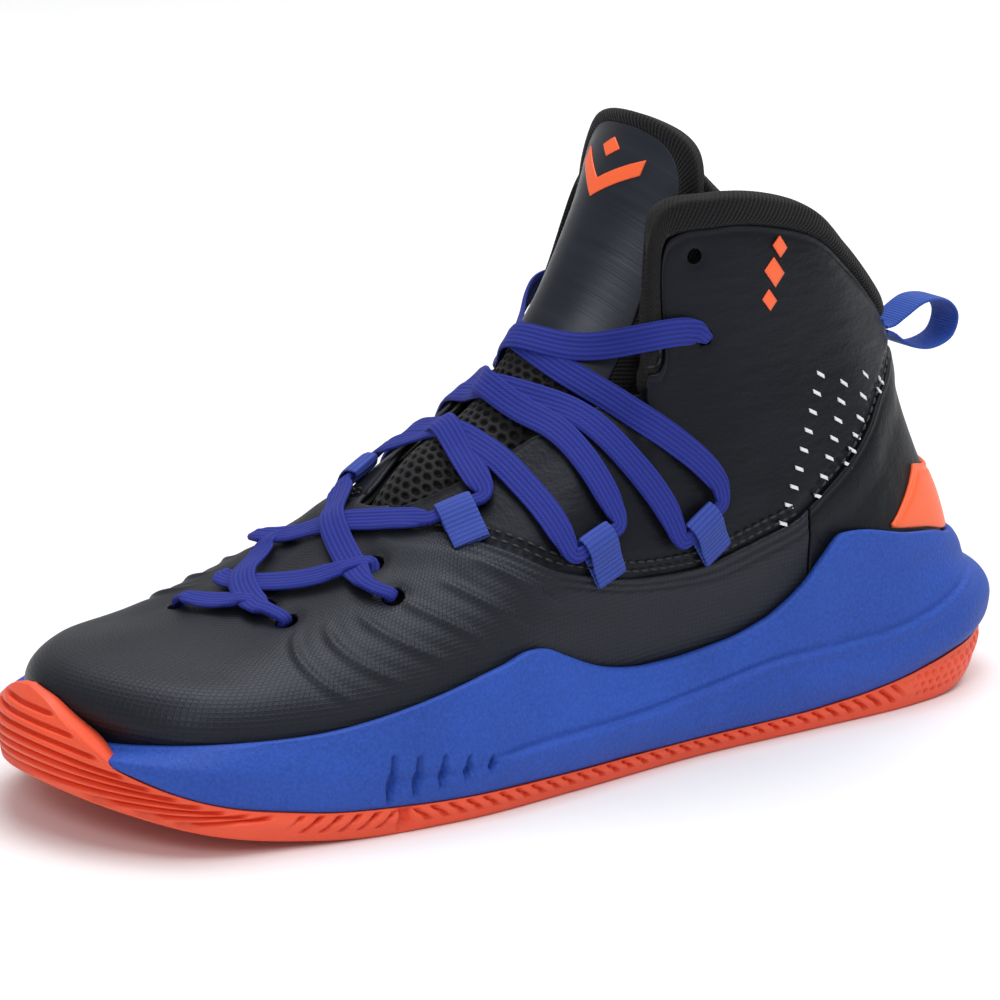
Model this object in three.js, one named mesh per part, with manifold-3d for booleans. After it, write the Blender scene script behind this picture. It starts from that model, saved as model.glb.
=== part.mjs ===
// High-top basketball shoe, left foot, as separate pieces in one frame.
// Millimetres. +X points to the toe, +Y to the outer side of the foot, +Z up; the ground is z = 0.
import * as THREE from 'three';
import { mergeVertices } from 'three/addons/utils/BufferGeometryUtils.js';
import Module from 'manifold-3d';

const wasm = await Module();
wasm.setup();

// ---------------------------------------------------------------- driving sizes
const SHOE_LENGTH = 300;       // outsole, heel to toe
const BALL_WIDTH = 110;        // outsole across the ball of the foot
const COLLAR_HEIGHT = 149;     // highest point of the ankle collar above the ground
const GAP = 0.3;               // clearance between touching pieces
const OUTSOLE_THICKNESS = 4.2; // rubber under the foam
const LIP_THICKNESS = 3;       // rubber wall that wraps the foam's side
const RIM_WALL = 2.6;          // foam wall around the foot at its top edge
const BOARD_THICKNESS = 1.5;   // lasting board stitched to the upper
const SHANK = { length: 96, width: 34, thickness: 1.4, middle: -22 };
const SOCKLINER = { forefoot: 4, heel: 6 };
const PANEL_THICKNESS = 1.2;   // outer synthetic panels
const STAY_THICKNESS = 0.6;    // hidden strip that stiffens the lacing edge
const LINING_THICKNESS = 0.9;
const KNIT_THICKNESS = 1.2;    // knit that rolls over the collar's edge
const LACE = { width: 7.6, thickness: 1.4, gathered: 3.2, bunched: 2.2 };
const AGLET = { length: 18, radius: 1.7 };
const WEBBING = { width: 10, thickness: 0.8, length: 13 };
const PULL_LOOP = { width: 12, thickness: 1.2, reach: 26, height: 14 };
const EYELET_RADIUS = 2.3;
const VAMP_HOLE_RADIUS = 3.6;  // the flat lace gathers as it turns through these
const TONGUE_THICKNESS = 4.6;
const SHIELD_THICKNESS = 1.1;
const TONGUE_BACK = 1.5;         // degrees the tongue's top can lean back, in step with its joint's limit

// The sections below are drawn on a last of these sizes and follow the driving sizes.
const LAST = { length: 300, width: 110, height: 149, shaftStart: 60 };
const lengthScale = SHOE_LENGTH / LAST.length;
const widthScale = BALL_WIDTH / LAST.width;
const heightScale = (COLLAR_HEIGHT - LAST.shaftStart) / (LAST.height - LAST.shaftStart);
const raise = (z) => (z <= LAST.shaftStart ? z : LAST.shaftStart + (z - LAST.shaftStart) * heightScale);
const point = (x, y, z) => new THREE.Vector3(x * lengthScale, y * widthScale, raise(z));

// ---------------------------------------------------------------- curves
const lerp = (from, to, share) => from + (to - from) * share;
const clamp01 = (value) => Math.min(1, Math.max(0, value));
const smooth = (from, to, value) => {
  const share = clamp01((value - from) / (to - from));
  return share * share * (3 - 2 * share);
};

// Weights of the cubic between two knots: start, start slope, end, end slope.
const cubic = (s) => [
  2 * s ** 3 - 3 * s ** 2 + 1,
  s ** 3 - 2 * s ** 2 + s,
  -2 * s ** 3 + 3 * s ** 2,
  s ** 3 - s ** 2,
];

// A smooth curve of one value through [place, value] pairs that never swings past them.
function profile(pairs) {
  const place = pairs.map((pair) => pair[0]);
  const value = pairs.map((pair) => pair[1]);
  const last = pairs.length - 1;
  const slope = (k) => (value[k + 1] - value[k]) / (place[k + 1] - place[k]);
  const tangent = value.map((_, k) => {
    if (k === 0) return slope(0);
    if (k === last) return slope(last - 1);
    const before = slope(k - 1);
    const after = slope(k);
    return before * after <= 0 ? 0 : (2 * before * after) / (before + after);
  });
  return (at) => {
    const here = Math.min(place[last], Math.max(place[0], at));
    let k = 0;
    while (k < last - 1 && here > place[k + 1]) k += 1;
    const step = place[k + 1] - place[k];
    const w = cubic((here - place[k]) / step);
    return w[0] * value[k] + w[1] * step * tangent[k] + w[2] * value[k + 1] + w[3] * step * tangent[k + 1];
  };
}

// A smooth curve of points through knots; a closed one repeats every 1.
function pointCurve(knots, points, closed) {
  let place = knots;
  let at = points;
  if (closed) {
    const last = knots.length - 1;
    place = [knots[last] - 1, ...knots, knots[0] + 1, knots[1] + 1];
    at = [points[last], ...points, points[0], points[1]];
  }
  const last = place.length - 1;
  const chord = (k) => at[k + 1].clone().sub(at[k]).divideScalar(place[k + 1] - place[k]);
  const tangent = at.map((_, k) => {
    if (k === 0) return chord(0);
    if (k === last) return chord(last - 1);
    const before = place[k] - place[k - 1];
    const after = place[k + 1] - place[k];
    return chord(k - 1).multiplyScalar(after).add(chord(k).multiplyScalar(before)).divideScalar(before + after);
  });
  return (where) => {
    const here = closed ? where - Math.floor(where) : Math.min(place[last], Math.max(place[0], where));
    let k = 0;
    while (k < last - 1 && here >= place[k + 1]) k += 1;
    const step = place[k + 1] - place[k];
    const w = cubic((here - place[k]) / step);
    return new THREE.Vector3()
      .addScaledVector(at[k], w[0])
      .addScaledVector(tangent[k], w[1] * step)
      .addScaledVector(at[k + 1], w[2])
      .addScaledVector(tangent[k + 1], w[3] * step);
  };
}

// ---------------------------------------------------------------- the last
// Sections of the upper's outer face. "around" runs from the middle of the heel (0) to the tip of the
// toe (1); each section climbs from the sole's edge to the collar's or the throat's edge. "slim" narrows
// the inner side of the foot and "back" draws the inner side's top edge rearwards.
const SECTIONS = [
  { around: 0, slim: 1, back: 0, rows: [[-134, 0, 27], [-137.5, 0, 40], [-134.5, 0, 53], [-128, 0, 68],
    [-123, 0, 82], [-120.5, 0, 95], [-119, 0, 107]] },
  { around: 0.08, slim: 1, back: 0, rows: [[-128, 20, 27], [-131.5, 21, 40], [-129, 20, 53], [-123, 18, 68],
    [-118.5, 16, 82], [-116, 14, 96], [-114, 12.5, 109.5]] },
  { around: 0.2, slim: 1, back: 2, rows: [[-104, 34.5, 27], [-106, 36.5, 41], [-104, 35.5, 57],
    [-100, 32.5, 76], [-97, 29, 95], [-95, 26.5, 113], [-92, 25, 129]] },
  { around: 0.33, slim: 0.98, back: 8, rows: [[-72, 39.5, 27], [-73, 41, 43], [-73, 40, 62],
    [-72, 37.5, 83], [-71, 34.5, 104], [-70, 33.5, 125], [-69, 33.5, 143.5]] },
  { around: 0.42, slim: 0.96, back: 15, rows: [[-52, 41, 26], [-52, 42.5, 43], [-52, 41.5, 63],
    [-50, 39, 85], [-47, 36, 107], [-44, 35, 129], [-42, 35.5, 148]] },
  { around: 0.48, slim: 0.96, back: 18, rows: [[-40, 41.5, 25.5], [-40, 43, 42], [-39, 42.5, 62],
    [-36, 39.5, 83], [-31, 35.5, 105], [-27, 33.5, 126], [-25, 33, 145]] },
  { around: 0.54, slim: 0.95, back: 12, rows: [[-27, 42, 25], [-27, 44, 39], [-26.5, 44, 54],
    [-25, 42, 71], [-22.5, 38.5, 89], [-20.5, 34.5, 107], [-20, 31.5, 123]] },
  { around: 0.6, slim: 0.95, back: 3, rows: [[-12, 43, 24], [-12, 45, 36], [-12, 45.5, 49],
    [-13, 44, 62], [-14.5, 40.5, 76], [-17, 35.5, 90], [-20, 30, 103]] },
  { around: 0.68, slim: 0.93, back: 0, rows: [[16, 46, 22], [16, 48, 33], [15, 48.5, 45], [13, 46.5, 58],
    [10, 41, 70.5], [5, 32.5, 83], [0, 23, 93.5]] },
  { around: 0.76, slim: 0.95, back: 0, rows: [[50, 51, 18.5], [50, 53, 29], [48.5, 51.5, 40],
    [45, 46.5, 51], [39, 38, 61], [31.5, 27.5, 71], [24, 16.5, 80.5]] },
  { around: 0.84, slim: 0.98, back: 0, rows: [[90, 48.5, 17], [91, 50, 27], [89, 48, 36], [82, 41.5, 44.5],
    [70, 32, 52.5], [54, 21.5, 62.5], [36, 10, 74]] },
  { around: 0.92, slim: 0.97, back: 0, rows: [[122, 36, 18.5], [125, 38, 31], [120, 35, 39.5],
    [107, 28, 43], [88, 20, 48], [66, 12, 58], [44.5, 5.5, 72]] },
  { around: 1, slim: 1, back: 0, rows: [[138.5, -3, 20], [143, -3, 34], [137, -2.5, 41.5], [120, -2, 44.5],
    [98, -1.5, 47.5], [73, -1, 56.5], [48, 0, 72]] },
];
const ROWS = SECTIONS[0].rows.length;

// The ring position u runs once round the shoe: heel 0, outer side, toe 0.5, inner side, heel 1.
const mirrored = SECTIONS.slice(1, -1).reverse();
const ringKnots = [
  ...SECTIONS.map((section) => section.around / 2),
  ...mirrored.map((section) => 1 - section.around / 2),
];
const rowCurves = [];
for (let row = 0; row < ROWS; row += 1) {
  const drawn = (row / (ROWS - 1)) ** 2;
  const outerSide = SECTIONS.map((section) => point(...section.rows[row]));
  const innerSide = mirrored.map((section) => {
    const [x, y, z] = section.rows[row];
    return point(x - section.back * drawn, -y * section.slim, z);
  });
  rowCurves.push(pointCurve(ringKnots, [...outerSide, ...innerSide], true));
}
const rowKnots = rowCurves.map((_, row) => row / (ROWS - 1));
const around = (u) => {
  const turn = u - Math.floor(u);
  return turn <= 0.5 ? turn * 2 : 2 - turn * 2;
};

// A point on the upper's outer face: u round the shoe, v from the sole's edge (0) to the top edge (1).
function onUpper(u, v) {
  const section = rowCurves.map((curve) => curve(u));
  return pointCurve(rowKnots, section, false)(v);
}

function upperFrame(u, v) {
  const step = 0.004;
  const alongRing = onUpper(u + step, v).sub(onUpper(u - step, v)).normalize();
  const climb = onUpper(u, Math.min(1, v + step)).sub(onUpper(u, Math.max(0, v - step))).normalize();
  const outward = climb.clone().cross(alongRing).normalize();
  return { at: onUpper(u, v), alongRing, climb, outward };
}

// The same face moved outward by "out" and, past the top edge, upward along the face by "up".
function offUpper(u, v, out, up = 0) {
  const face = upperFrame(u, v);
  return face.at.addScaledVector(face.outward, out).addScaledVector(face.climb, up);
}

// Every layer of the shoe shares these ring positions and rows, so that the facets of neighbouring
// layers lie parallel. They sit closer together where the outline turns.
const RING_STEPS = [0, 0.04, 0.08, 0.12, 0.16, 0.2, 0.25, 0.3, 0.345, 0.38, 0.42, 0.46, 0.483, 0.49, 0.497, 0.505,
  0.53, 0.565, 0.6, 0.64, 0.68, 0.72, 0.76, 0.8, 0.84, 0.87, 0.9, 0.925, 0.945, 0.955, 0.965, 0.98, 1];
const UPPER_ROWS = [0, 0.08, 0.17, 0.26, 0.37, 0.52, 0.68, 0.84, 1];
function ringPlaces(from, to) {
  const all = [-1, 0, 1].flatMap((turn) => RING_STEPS.flatMap((a) => [turn + a / 2, turn - a / 2]));
  const within = all.filter((u) => u > from + 0.002 && u < to - 0.002);
  const sorted = [from, ...within, to].sort((m, n) => m - n);
  return sorted.filter((u, k) => k === 0 || u - sorted[k - 1] > 1e-5);
}
const ringColumns = ringPlaces(0, 1).slice(0, -1);

// ---------------------------------------------------------------- solids
// Rows that meet at a panel's pointed end leave faces with no area; these go.
function dropFlatFaces(geometry) {
  const index = geometry.index.array;
  const kept = [];
  for (let k = 0; k < index.length; k += 3) {
    const [a, b, c] = [index[k], index[k + 1], index[k + 2]];
    if (a !== b && b !== c && a !== c) kept.push(a, b, c);
  }
  geometry.setIndex(kept);
  return geometry;
}

function finish(positions, triangles) {
  let volume = 0;
  const corner = [new THREE.Vector3(), new THREE.Vector3(), new THREE.Vector3()];
  for (const triangle of triangles) {
    triangle.forEach((index, k) => corner[k].copy(positions[index]));
    volume += corner[0].dot(corner[1].clone().cross(corner[2]));
  }
  const facing = volume > 0 ? triangles : triangles.map(([a, b, c]) => [a, c, b]);
  const geometry = new THREE.BufferGeometry().setFromPoints(positions);
  geometry.setIndex(facing.flat());
  return dropFlatFaces(mergeVertices(geometry, 1e-4));
}

// A shell between two grids of points, grid[column][row]; a wrapped one closes round the shoe.
function slab(outer, inner, wrap = false) {
  const columns = outer.length;
  const rows = outer[0].length;
  const positions = [...outer.flat(), ...inner.flat()];
  const out = (column, row) => (column % columns) * rows + row;
  const back = (column, row) => columns * rows + out(column, row);
  const triangles = [];
  const quad = (a, b, c, d) => triangles.push([a, b, c], [a, c, d]);
  const spans = wrap ? columns : columns - 1;
  for (let column = 0; column < spans; column += 1) {
    for (let row = 0; row < rows - 1; row += 1) {
      quad(out(column, row), out(column + 1, row), out(column + 1, row + 1), out(column, row + 1));
      quad(back(column, row), back(column, row + 1), back(column + 1, row + 1), back(column + 1, row));
    }
    quad(out(column, 0), back(column, 0), back(column + 1, 0), out(column + 1, 0));
    const top = rows - 1;
    quad(out(column, top), out(column + 1, top), back(column + 1, top), back(column, top));
  }
  if (!wrap) {
    const end = columns - 1;
    for (let row = 0; row < rows - 1; row += 1) {
      quad(out(0, row), out(0, row + 1), back(0, row + 1), back(0, row));
      quad(out(end, row), back(end, row), back(end, row + 1), out(end, row + 1));
    }
  }
  return finish(positions, triangles);
}

// A plate-like body: closed loops stacked from one face to the other, each face closed across the shoe.
function stack(loops) {
  const count = loops[0].length;
  const positions = loops.flat();
  const triangles = [];
  for (let loop = 0; loop < loops.length - 1; loop += 1) {
    for (let k = 0; k < count; k += 1) {
      const a = loop * count + k;
      const b = loop * count + ((k + 1) % count);
      triangles.push([a, b, b + count], [a, b + count, a + count]);
    }
  }
  const close = (base, flip) => {
    for (let k = 0; k < count / 2; k += 1) {
      const left = [base + k, base + k + 1];
      const right = [base + ((count - k) % count), base + count - k - 1];
      const faces = [[left[0], right[1], left[1]], [left[0], right[0], right[1]]];
      for (const [a, b, c] of faces) {
        if (a !== b && b !== c && a !== c) triangles.push(flip ? [a, c, b] : [a, b, c]);
      }
    }
  };
  close(0, false);
  close((loops.length - 1) * count, true);
  return finish(positions, triangles);
}

// A bar of convex sections with flat ends.
function bar(sections) {
  const count = sections[0].length;
  const positions = sections.flat();
  const triangles = [];
  for (let s = 0; s < sections.length - 1; s += 1) {
    for (let k = 0; k < count; k += 1) {
      const a = s * count + k;
      const b = s * count + ((k + 1) % count);
      triangles.push([a, b, b + count], [a, b + count, a + count]);
    }
  }
  const end = (sections.length - 1) * count;
  for (let k = 1; k < count - 1; k += 1) {
    triangles.push([0, k + 1, k], [end, end + k, end + k + 1]);
  }
  return finish(positions, triangles);
}

function toSolid(geometry) {
  const bare = geometry.clone();
  bare.deleteAttribute('normal');
  bare.deleteAttribute('uv');
  const merged = mergeVertices(bare, 1e-4);
  return new wasm.Manifold(new wasm.Mesh({
    numProp: 3,
    vertProperties: new Float32Array(merged.attributes.position.array),
    triVerts: new Uint32Array(merged.index.array),
  }));
}

function fromSolid(solid) {
  const mesh = solid.getMesh();
  const geometry = new THREE.BufferGeometry();
  geometry.setAttribute('position', new THREE.BufferAttribute(new Float32Array(mesh.vertProperties), 3));
  geometry.setIndex(new THREE.BufferAttribute(new Uint32Array(mesh.triVerts), 1));
  return geometry;
}

const cut = (geometry, tools) => fromSolid(
  tools.reduce((solid, tool) => solid.subtract(toSolid(tool)), toSolid(geometry)),
);

// A punch through the upper's layers at one place of the outer face.
function punch({ u, v }, radius, depth = 24) {
  const face = upperFrame(u, v);
  const tool = new THREE.CylinderGeometry(radius, radius, depth, 16);
  const turn = new THREE.Quaternion().setFromUnitVectors(new THREE.Vector3(0, 1, 0), face.outward);
  tool.applyQuaternion(turn);
  tool.translate(face.at.x, face.at.y, face.at.z);
  return tool;
}

// ---------------------------------------------------------------- materials
const finishes = {
  rubber: ['#ee5532', 0.55],
  foam: ['#3255be', 0.6],
  board: ['#c9c2b2', 0.9],
  plate: ['#20242a', 0.4],
  sockliner: ['#23262c', 0.9],
  vamp: ['#34353f', 0.55],
  quarter: ['#24262b', 0.6],
  overlay: ['#1d1f23', 0.45],
  tab: ['#ff6937', 0.5],
  knit: ['#17181a', 0.95],
  lining: ['#1b1c1f', 0.95],
  padding: ['#8d9097', 0.95],
  stiffener: ['#d9d4c6', 0.7],
  shield: ['#2c2d36', 0.4],
  mesh: ['#141416', 0.95],
  lace: ['#3741c3', 0.75],
  webbing: ['#465acd', 0.7],
  tip: ['#2c36b4', 0.25],
};
const group = new THREE.Group();
function add(name, geometry, finishName) {
  const [color, roughness] = finishes[finishName];
  const mesh = new THREE.Mesh(geometry, new THREE.MeshStandardMaterial({ color, roughness, metalness: 0 }));
  mesh.name = name;
  group.add(mesh);
  return mesh;
}

// ---------------------------------------------------------------- sole outline
// The outsole's edge seen from above, heel to toe, outer side; "slim" narrows the arch side.
const SOLE_EDGE = [
  [0, -150, 0, 1], [0.04, -148.6, 12, 1], [0.09, -142, 24, 1], [0.15, -128, 35.6, 1], [0.22, -108, 41.2, 1],
  [0.33, -73, 43.9, 0.97], [0.42, -52, 44.8, 0.94], [0.48, -40, 45.4, 0.92], [0.54, -27, 46.5, 0.91],
  [0.6, -12, 48.6, 0.91], [0.68, 16, 53, 0.92], [0.76, 52, 57, 0.95], [0.84, 95, 53.5, 0.97],
  [0.92, 131, 42, 0.97], [0.965, 145.6, 20, 1], [1, 150, -3, 1],
];
const edgeBack = SOLE_EDGE.slice(1, -1).reverse();
const soleEdge = pointCurve(
  [...SOLE_EDGE.map((row) => row[0] / 2), ...edgeBack.map((row) => 1 - row[0] / 2)],
  [...SOLE_EDGE.map((row) => point(row[1], row[2], 0)), ...edgeBack.map((row) => point(row[1], -row[2] * row[3], 0))],
  true,
);

function onSole(u, out, z) {
  const step = 0.003;
  const along = soleEdge(u + step).sub(soleEdge(u - step)).normalize();
  const at = soleEdge(u);
  return new THREE.Vector3(at.x - along.y * out, at.y + along.x * out, z);
}

// How far the tread rises off the ground towards the toe and the back of the heel.
const TOE_SPRING = { from: 70, run: 80, rise: 15 };
const HEEL_BEVEL = { from: -112, run: 38, rise: 10.5 };
function treadHeight(x) {
  const toe = Math.max(0, x / lengthScale - TOE_SPRING.from) / TOE_SPRING.run;
  const heel = Math.max(0, HEEL_BEVEL.from - x / lengthScale) / HEEL_BEVEL.run;
  return TOE_SPRING.rise * toe ** 2 + HEEL_BEVEL.rise * heel ** 2;
}

// Heights along the side walls, by "around" (0 heel, 1 toe).
const lipTop = profile([[0, 16], [0.1, 14.5], [0.16, 13.5], [0.2, 11.5], [0.25, 9], [0.3, 7], [0.36, 6], [0.5, 5.6],
  [0.66, 6], [0.76, 6.8], [0.82, 8.4], [0.87, 12], [0.91, 17], [0.94, 22.5], [0.955, 27.5], [0.97, 32],
  [0.985, 36], [1, 37.5]]);
const bulgeHeight = profile([[0, 22], [0.1, 21], [0.2, 17.5], [0.33, 14.5], [0.6, 12], [0.76, 13.5], [0.84, 16.5],
  [0.92, 22.5], [1, 26]]);
const ledgeHeight = profile([[0, 30], [0.1, 30], [0.2, 27], [0.3, 24.5], [0.42, 21.5], [0.5, 19.5], [0.62, 17.5],
  [0.76, 17.5], [0.84, 21.5], [0.92, 25.2], [1, 27]]);
const bulgeOut = profile([[0, 2], [0.12, 3.2], [0.66, 3.2], [0.8, 1.4], [1, 0.8]]);
const ledgeOut = profile([[0, 0], [0.12, 1.2], [0.66, 2.4], [0.8, 1.2], [1, 0]]);
// Where the foam's top edge runs on the upper's face, as v.
const rimLine = profile([[0, 0.19], [0.11, 0.216], [0.153, 0.243], [0.207, 0.256], [0.272, 0.273], [0.3, 0.268],
  [0.33, 0.216], [0.358, 0.155], [0.387, 0.11], [0.415, 0.08], [0.482, 0.05], [0.543, 0.045], [0.597, 0.06],
  [0.62, 0.08], [0.642, 0.115], [0.662, 0.165], [0.68, 0.22], [0.705, 0.291], [0.717, 0.301], [0.732, 0.288],
  [0.747, 0.279], [0.772, 0.255], [0.795, 0.235], [0.837, 0.2], [0.882, 0.165], [0.927, 0.12], [0.96, 0.08],
  [1, 0.06]]);
// Share of the toe bumper: 0 where the foam shows, 1 where the rubber covers it.
const bumper = (u) => smooth(0.94, 0.962, around(u));

const loop = (place) => ringColumns.map((u) => place(u));

// ---------------------------------------------------------------- sole pieces
// The rubber cup: flat tread, a wall up the foam's side and a tall bumper against the toe. A grown one
// is the space the foam leaves for it.
function outsole(grow = 0) {
  const lip = (u) => lipTop(around(u)) + grow;
  const floor = (u, out) => {
    const place = onSole(u, out, 0);
    place.z = treadHeight(place.x);
    return place;
  };
  const seat = (u) => floor(u, -LIP_THICKNESS - grow).add(new THREE.Vector3(0, 0, OUTSOLE_THICKNESS + grow));
  const edge = (u) => onSole(u, grow, treadHeight(soleEdge(u).x) + 2.2);
  const lipOut = (u) => {
    const upright = onSole(u, 0.6 + grow, lip(u));
    const face = offUpper(u, 0.2, GAP + RIM_WALL + grow);
    const share = bumper(u) * smooth(0.95, 1, around(u));
    return new THREE.Vector3(lerp(upright.x, face.x, share), lerp(upright.y, face.y, share), upright.z);
  };
  const lipIn = (u) => {
    const wall = onSole(u, -LIP_THICKNESS - grow, lip(u));
    const face = offUpper(u, 0.17, GAP - grow);
    return new THREE.Vector3(lerp(wall.x, face.x, bumper(u)), lerp(wall.y, face.y, bumper(u)), wall.z);
  };
  const middle = (u) => onSole(u, 1.2 + grow, lerp(edge(u).z, lip(u), 0.5));
  const shelf = (u) => onSole(u, -LIP_THICKNESS - grow, lerp(seat(u).z, lip(u), 0.55));
  const bottom = (u) => floor(u, -3);
  return stack([bottom, edge, middle, lipOut, lipIn, shelf, seat].map(loop));
}

const boardTop = (u) => onUpper(u, 0).z - GAP;
const boardBottom = (u) => boardTop(u) - BOARD_THICKNESS;
const insideFoam = (u, z) => {
  const place = offUpper(u, 0, GAP);
  place.z = z;
  return place;
};
// Height of the foam's floor under the middle of the foot, by x.
const floorHeight = profile(RING_STEPS.map((a) => [onUpper(a / 2, 0).x, boardBottom(a / 2) - GAP]));

function shankPlate(grow) {
  const columns = 12;
  const half = SHANK.width / 2 + grow;
  const outer = [];
  const inner = [];
  for (let k = 0; k <= columns; k += 1) {
    const x = (SHANK.middle + (k / columns - 0.5) * (SHANK.length + 2 * grow)) * lengthScale;
    const top = floorHeight(x) + (grow > 0 ? 1 : 0);
    const bottom = floorHeight(x) - SHANK.thickness - grow;
    outer.push([-half, 0, half].map((y) => new THREE.Vector3(x, y, top)));
    inner.push([-half, 0, half].map((y) => new THREE.Vector3(x, y, bottom)));
  }
  return slab(outer, inner);
}

function midsole() {
  const inset = LIP_THICKNESS + GAP;
  // A ring on the foam's side that tucks inside the toe bumper.
  const side = (out, height, tucked) => (u) => {
    const share = bumper(u);
    return onSole(u, lerp(out(around(u)), -inset, share), lerp(height(around(u)), tucked, share));
  };
  const bottom = (u) => {
    const place = onSole(u, -inset, 0);
    place.z = treadHeight(place.x) + OUTSOLE_THICKNESS + GAP;
    return place;
  };
  const flush = () => 0.8;
  const aboveLip = (a) => lipTop(a) + GAP * 1.1;
  const wall = UPPER_ROWS.filter((row) => row > 0 && row < 0.3).reverse();
  const walls = [
    bottom,
    side(() => -inset, aboveLip, 20),
    side(flush, aboveLip, 20.6),
    side(bulgeOut, bulgeHeight, 21.2),
    side(ledgeOut, ledgeHeight, 21.8),
    (u) => offUpper(u, rimLine(around(u)), GAP + RIM_WALL),
    (u) => offUpper(u, rimLine(around(u)), GAP),
    ...wall.map((row) => (u) => offUpper(u, Math.min(row, rimLine(around(u))), GAP)),
    (u) => insideFoam(u, boardBottom(u) - GAP),
  ];
  return cut(stack(walls.map(loop)), [outsole(GAP), shankPlate(GAP)]);
}

function lastingBoard() {
  const edge = (height) => (u) => {
    const place = offUpper(u, 0, -GAP);
    place.z = height(u);
    return place;
  };
  return stack([loop(edge(boardBottom)), loop(edge(boardTop))]);
}

// ---------------------------------------------------------------- layers of the upper
// How deep the lining lies behind the outer face: deeper at the heel, round the padded collar and where
// the lace runs under the vamp.
const STAY_DEPTH = PANEL_THICKNESS + GAP;
const HEEL_EXTRA = 0.9;
const COLLAR_PADDING = 3.6;
const LACE_CHANNEL = LACE.bunched - STAY_THICKNESS + 2 * GAP;
function liningDepth(u, v) {
  const a = around(u);
  const heel = HEEL_EXTRA * (1 - smooth(0.42, 0.6, a));
  const collar = COLLAR_PADDING * (1 - smooth(0.47, 0.56, a)) * smooth(0.45, 0.7, v);
  const channel = LACE_CHANNEL * smooth(0.74, 0.8, a) * smooth(0.45, 0.55, v) * (1 - smooth(0.84, 0.95, v));
  return STAY_DEPTH + STAY_THICKNESS + GAP + heel + collar + channel;
}
const liningInside = (u, v) => offUpper(u, v, -(liningDepth(u, v) + LINING_THICKNESS + GAP));

// The double-stitched seam between the lower and upper panels, the sweep of the heel overlay and the
// edge of the collar's rolled knit, as v by "around".
const seamLine = profile([[0.345, 0.335], [0.365, 0.311], [0.41, 0.288], [0.477, 0.268], [0.555, 0.333],
  [0.632, 0.426], [0.688, 0.521], [0.735, 0.687], [0.777, 0.822], [0.857, 0.95], [0.9, 1]]);
const heelLine = profile([[0, 0.86], [0.06, 0.85], [0.103, 0.8], [0.155, 0.669], [0.217, 0.541], [0.282, 0.426],
  [0.333, 0.351], [0.345, 0.335]]);
const bandLine = profile([[0, 0.945], [0.3, 0.95], [0.47, 0.945], [0.483, 0.92], [0.49, 0.86], [0.497, 0.79],
  [0.505, 0.755], [0.55, 0.84], [0.597, 0.945], [0.625, 0.99], [0.9, 0.995]]);
const HEEL_JOIN = 0.345;       // where the heel overlay meets the lower panel
const QUARTER_TIP = 0.87;
const KNIT_END = 0.6;
const bandGap = profile([[0.45, 0.004], [0.48, 0.02], [0.51, 0.03], [0.54, 0.012], [0.57, 0.004]]);
const SEAM_GAP = 0.004;        // share of a section's height left between two panels
const JOIN_GAP = 0.002;        // share of the ring left between two panels

// A curved sheet of the upper between two ring positions and two lines, at two depths.
function sheet({ from, to, low, high, depths }) {
  const places = ringPlaces(from, to);
  const face = (depth) => places.map((u) => {
    const [bottom, top] = [low(around(u)), high(around(u))];
    return UPPER_ROWS.map((row) => Math.min(top, Math.max(bottom, row))).map((v) => offUpper(u, v, -depth(u, v)));
  });
  return slab(face(depths[0]), face(depths[1]));
}
const flat = (value) => () => value;

function vamp() {
  const high = (a) => (a > 0.9 ? 1 : Math.min(1, seamLine(a) - SEAM_GAP / 2));
  return cut(sheet({
    from: (HEEL_JOIN + JOIN_GAP) / 2, to: 1 - (HEEL_JOIN + JOIN_GAP) / 2, low: flat(0), high,
    depths: [flat(0), flat(PANEL_THICKNESS)],
  }), [...vampHoles.outer, ...vampHoles.inner].map((hole) => punch(hole, VAMP_HOLE_RADIUS)));
}

function quarter(side) {
  const low = (a) => (a < HEEL_JOIN ? heelLine(a) : seamLine(a)) + SEAM_GAP / 2;
  const ends = [JOIN_GAP / 2, QUARTER_TIP].map((a) => (side > 0 ? a / 2 : 1 - a / 2));
  return cut(sheet({
    from: Math.min(...ends), to: Math.max(...ends), low, high: (a) => bandLine(a) - bandGap(a) / 2,
    depths: [flat(0), flat(PANEL_THICKNESS)],
  }), collarEyelets(side).map((hole) => punch(hole, EYELET_RADIUS)));
}

const heelOverlay = () => sheet({
  from: -HEEL_JOIN / 2, to: HEEL_JOIN / 2, low: flat(0), high: (a) => heelLine(a) - SEAM_GAP / 2,
  depths: [flat(0), flat(PANEL_THICKNESS)],
});

const TAB = { reach: 0.22, shoulder: 0.14, top: 0.444, thickness: 0.9 };
const heelTab = () => sheet({
  from: -TAB.reach / 2, to: TAB.reach / 2, low: (a) => rimLine(a) + 0.014,
  high: (a) => lerp(rimLine(a) + 0.024, TAB.top, clamp01((TAB.reach - a) / (TAB.reach - TAB.shoulder))),
  depths: [flat(-GAP - TAB.thickness), flat(-GAP)],
});

const heelCounter = () => sheet({
  from: -HEEL_JOIN / 2, to: HEEL_JOIN / 2, low: flat(0), high: (a) => lerp(0.52, 0.3, smooth(0.1, 0.345, a)),
  depths: [flat(STAY_DEPTH), flat(STAY_DEPTH + STAY_THICKNESS + HEEL_EXTRA)],
});

const toePuff = () => sheet({
  from: 0.45, to: 0.55, low: flat(0), high: flat(0.37),
  depths: [flat(STAY_DEPTH), flat(STAY_DEPTH + STAY_THICKNESS)],
});

function lacingStay(side) {
  const ends = [0.64, 0.76].map((a) => (side > 0 ? a / 2 : 1 - a / 2));
  return sheet({
    from: Math.min(...ends), to: Math.max(...ends), low: flat(0.84), high: flat(0.97),
    depths: [flat(STAY_DEPTH + 0.1), flat(STAY_DEPTH + 0.1 + STAY_THICKNESS)],
  });
}

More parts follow.
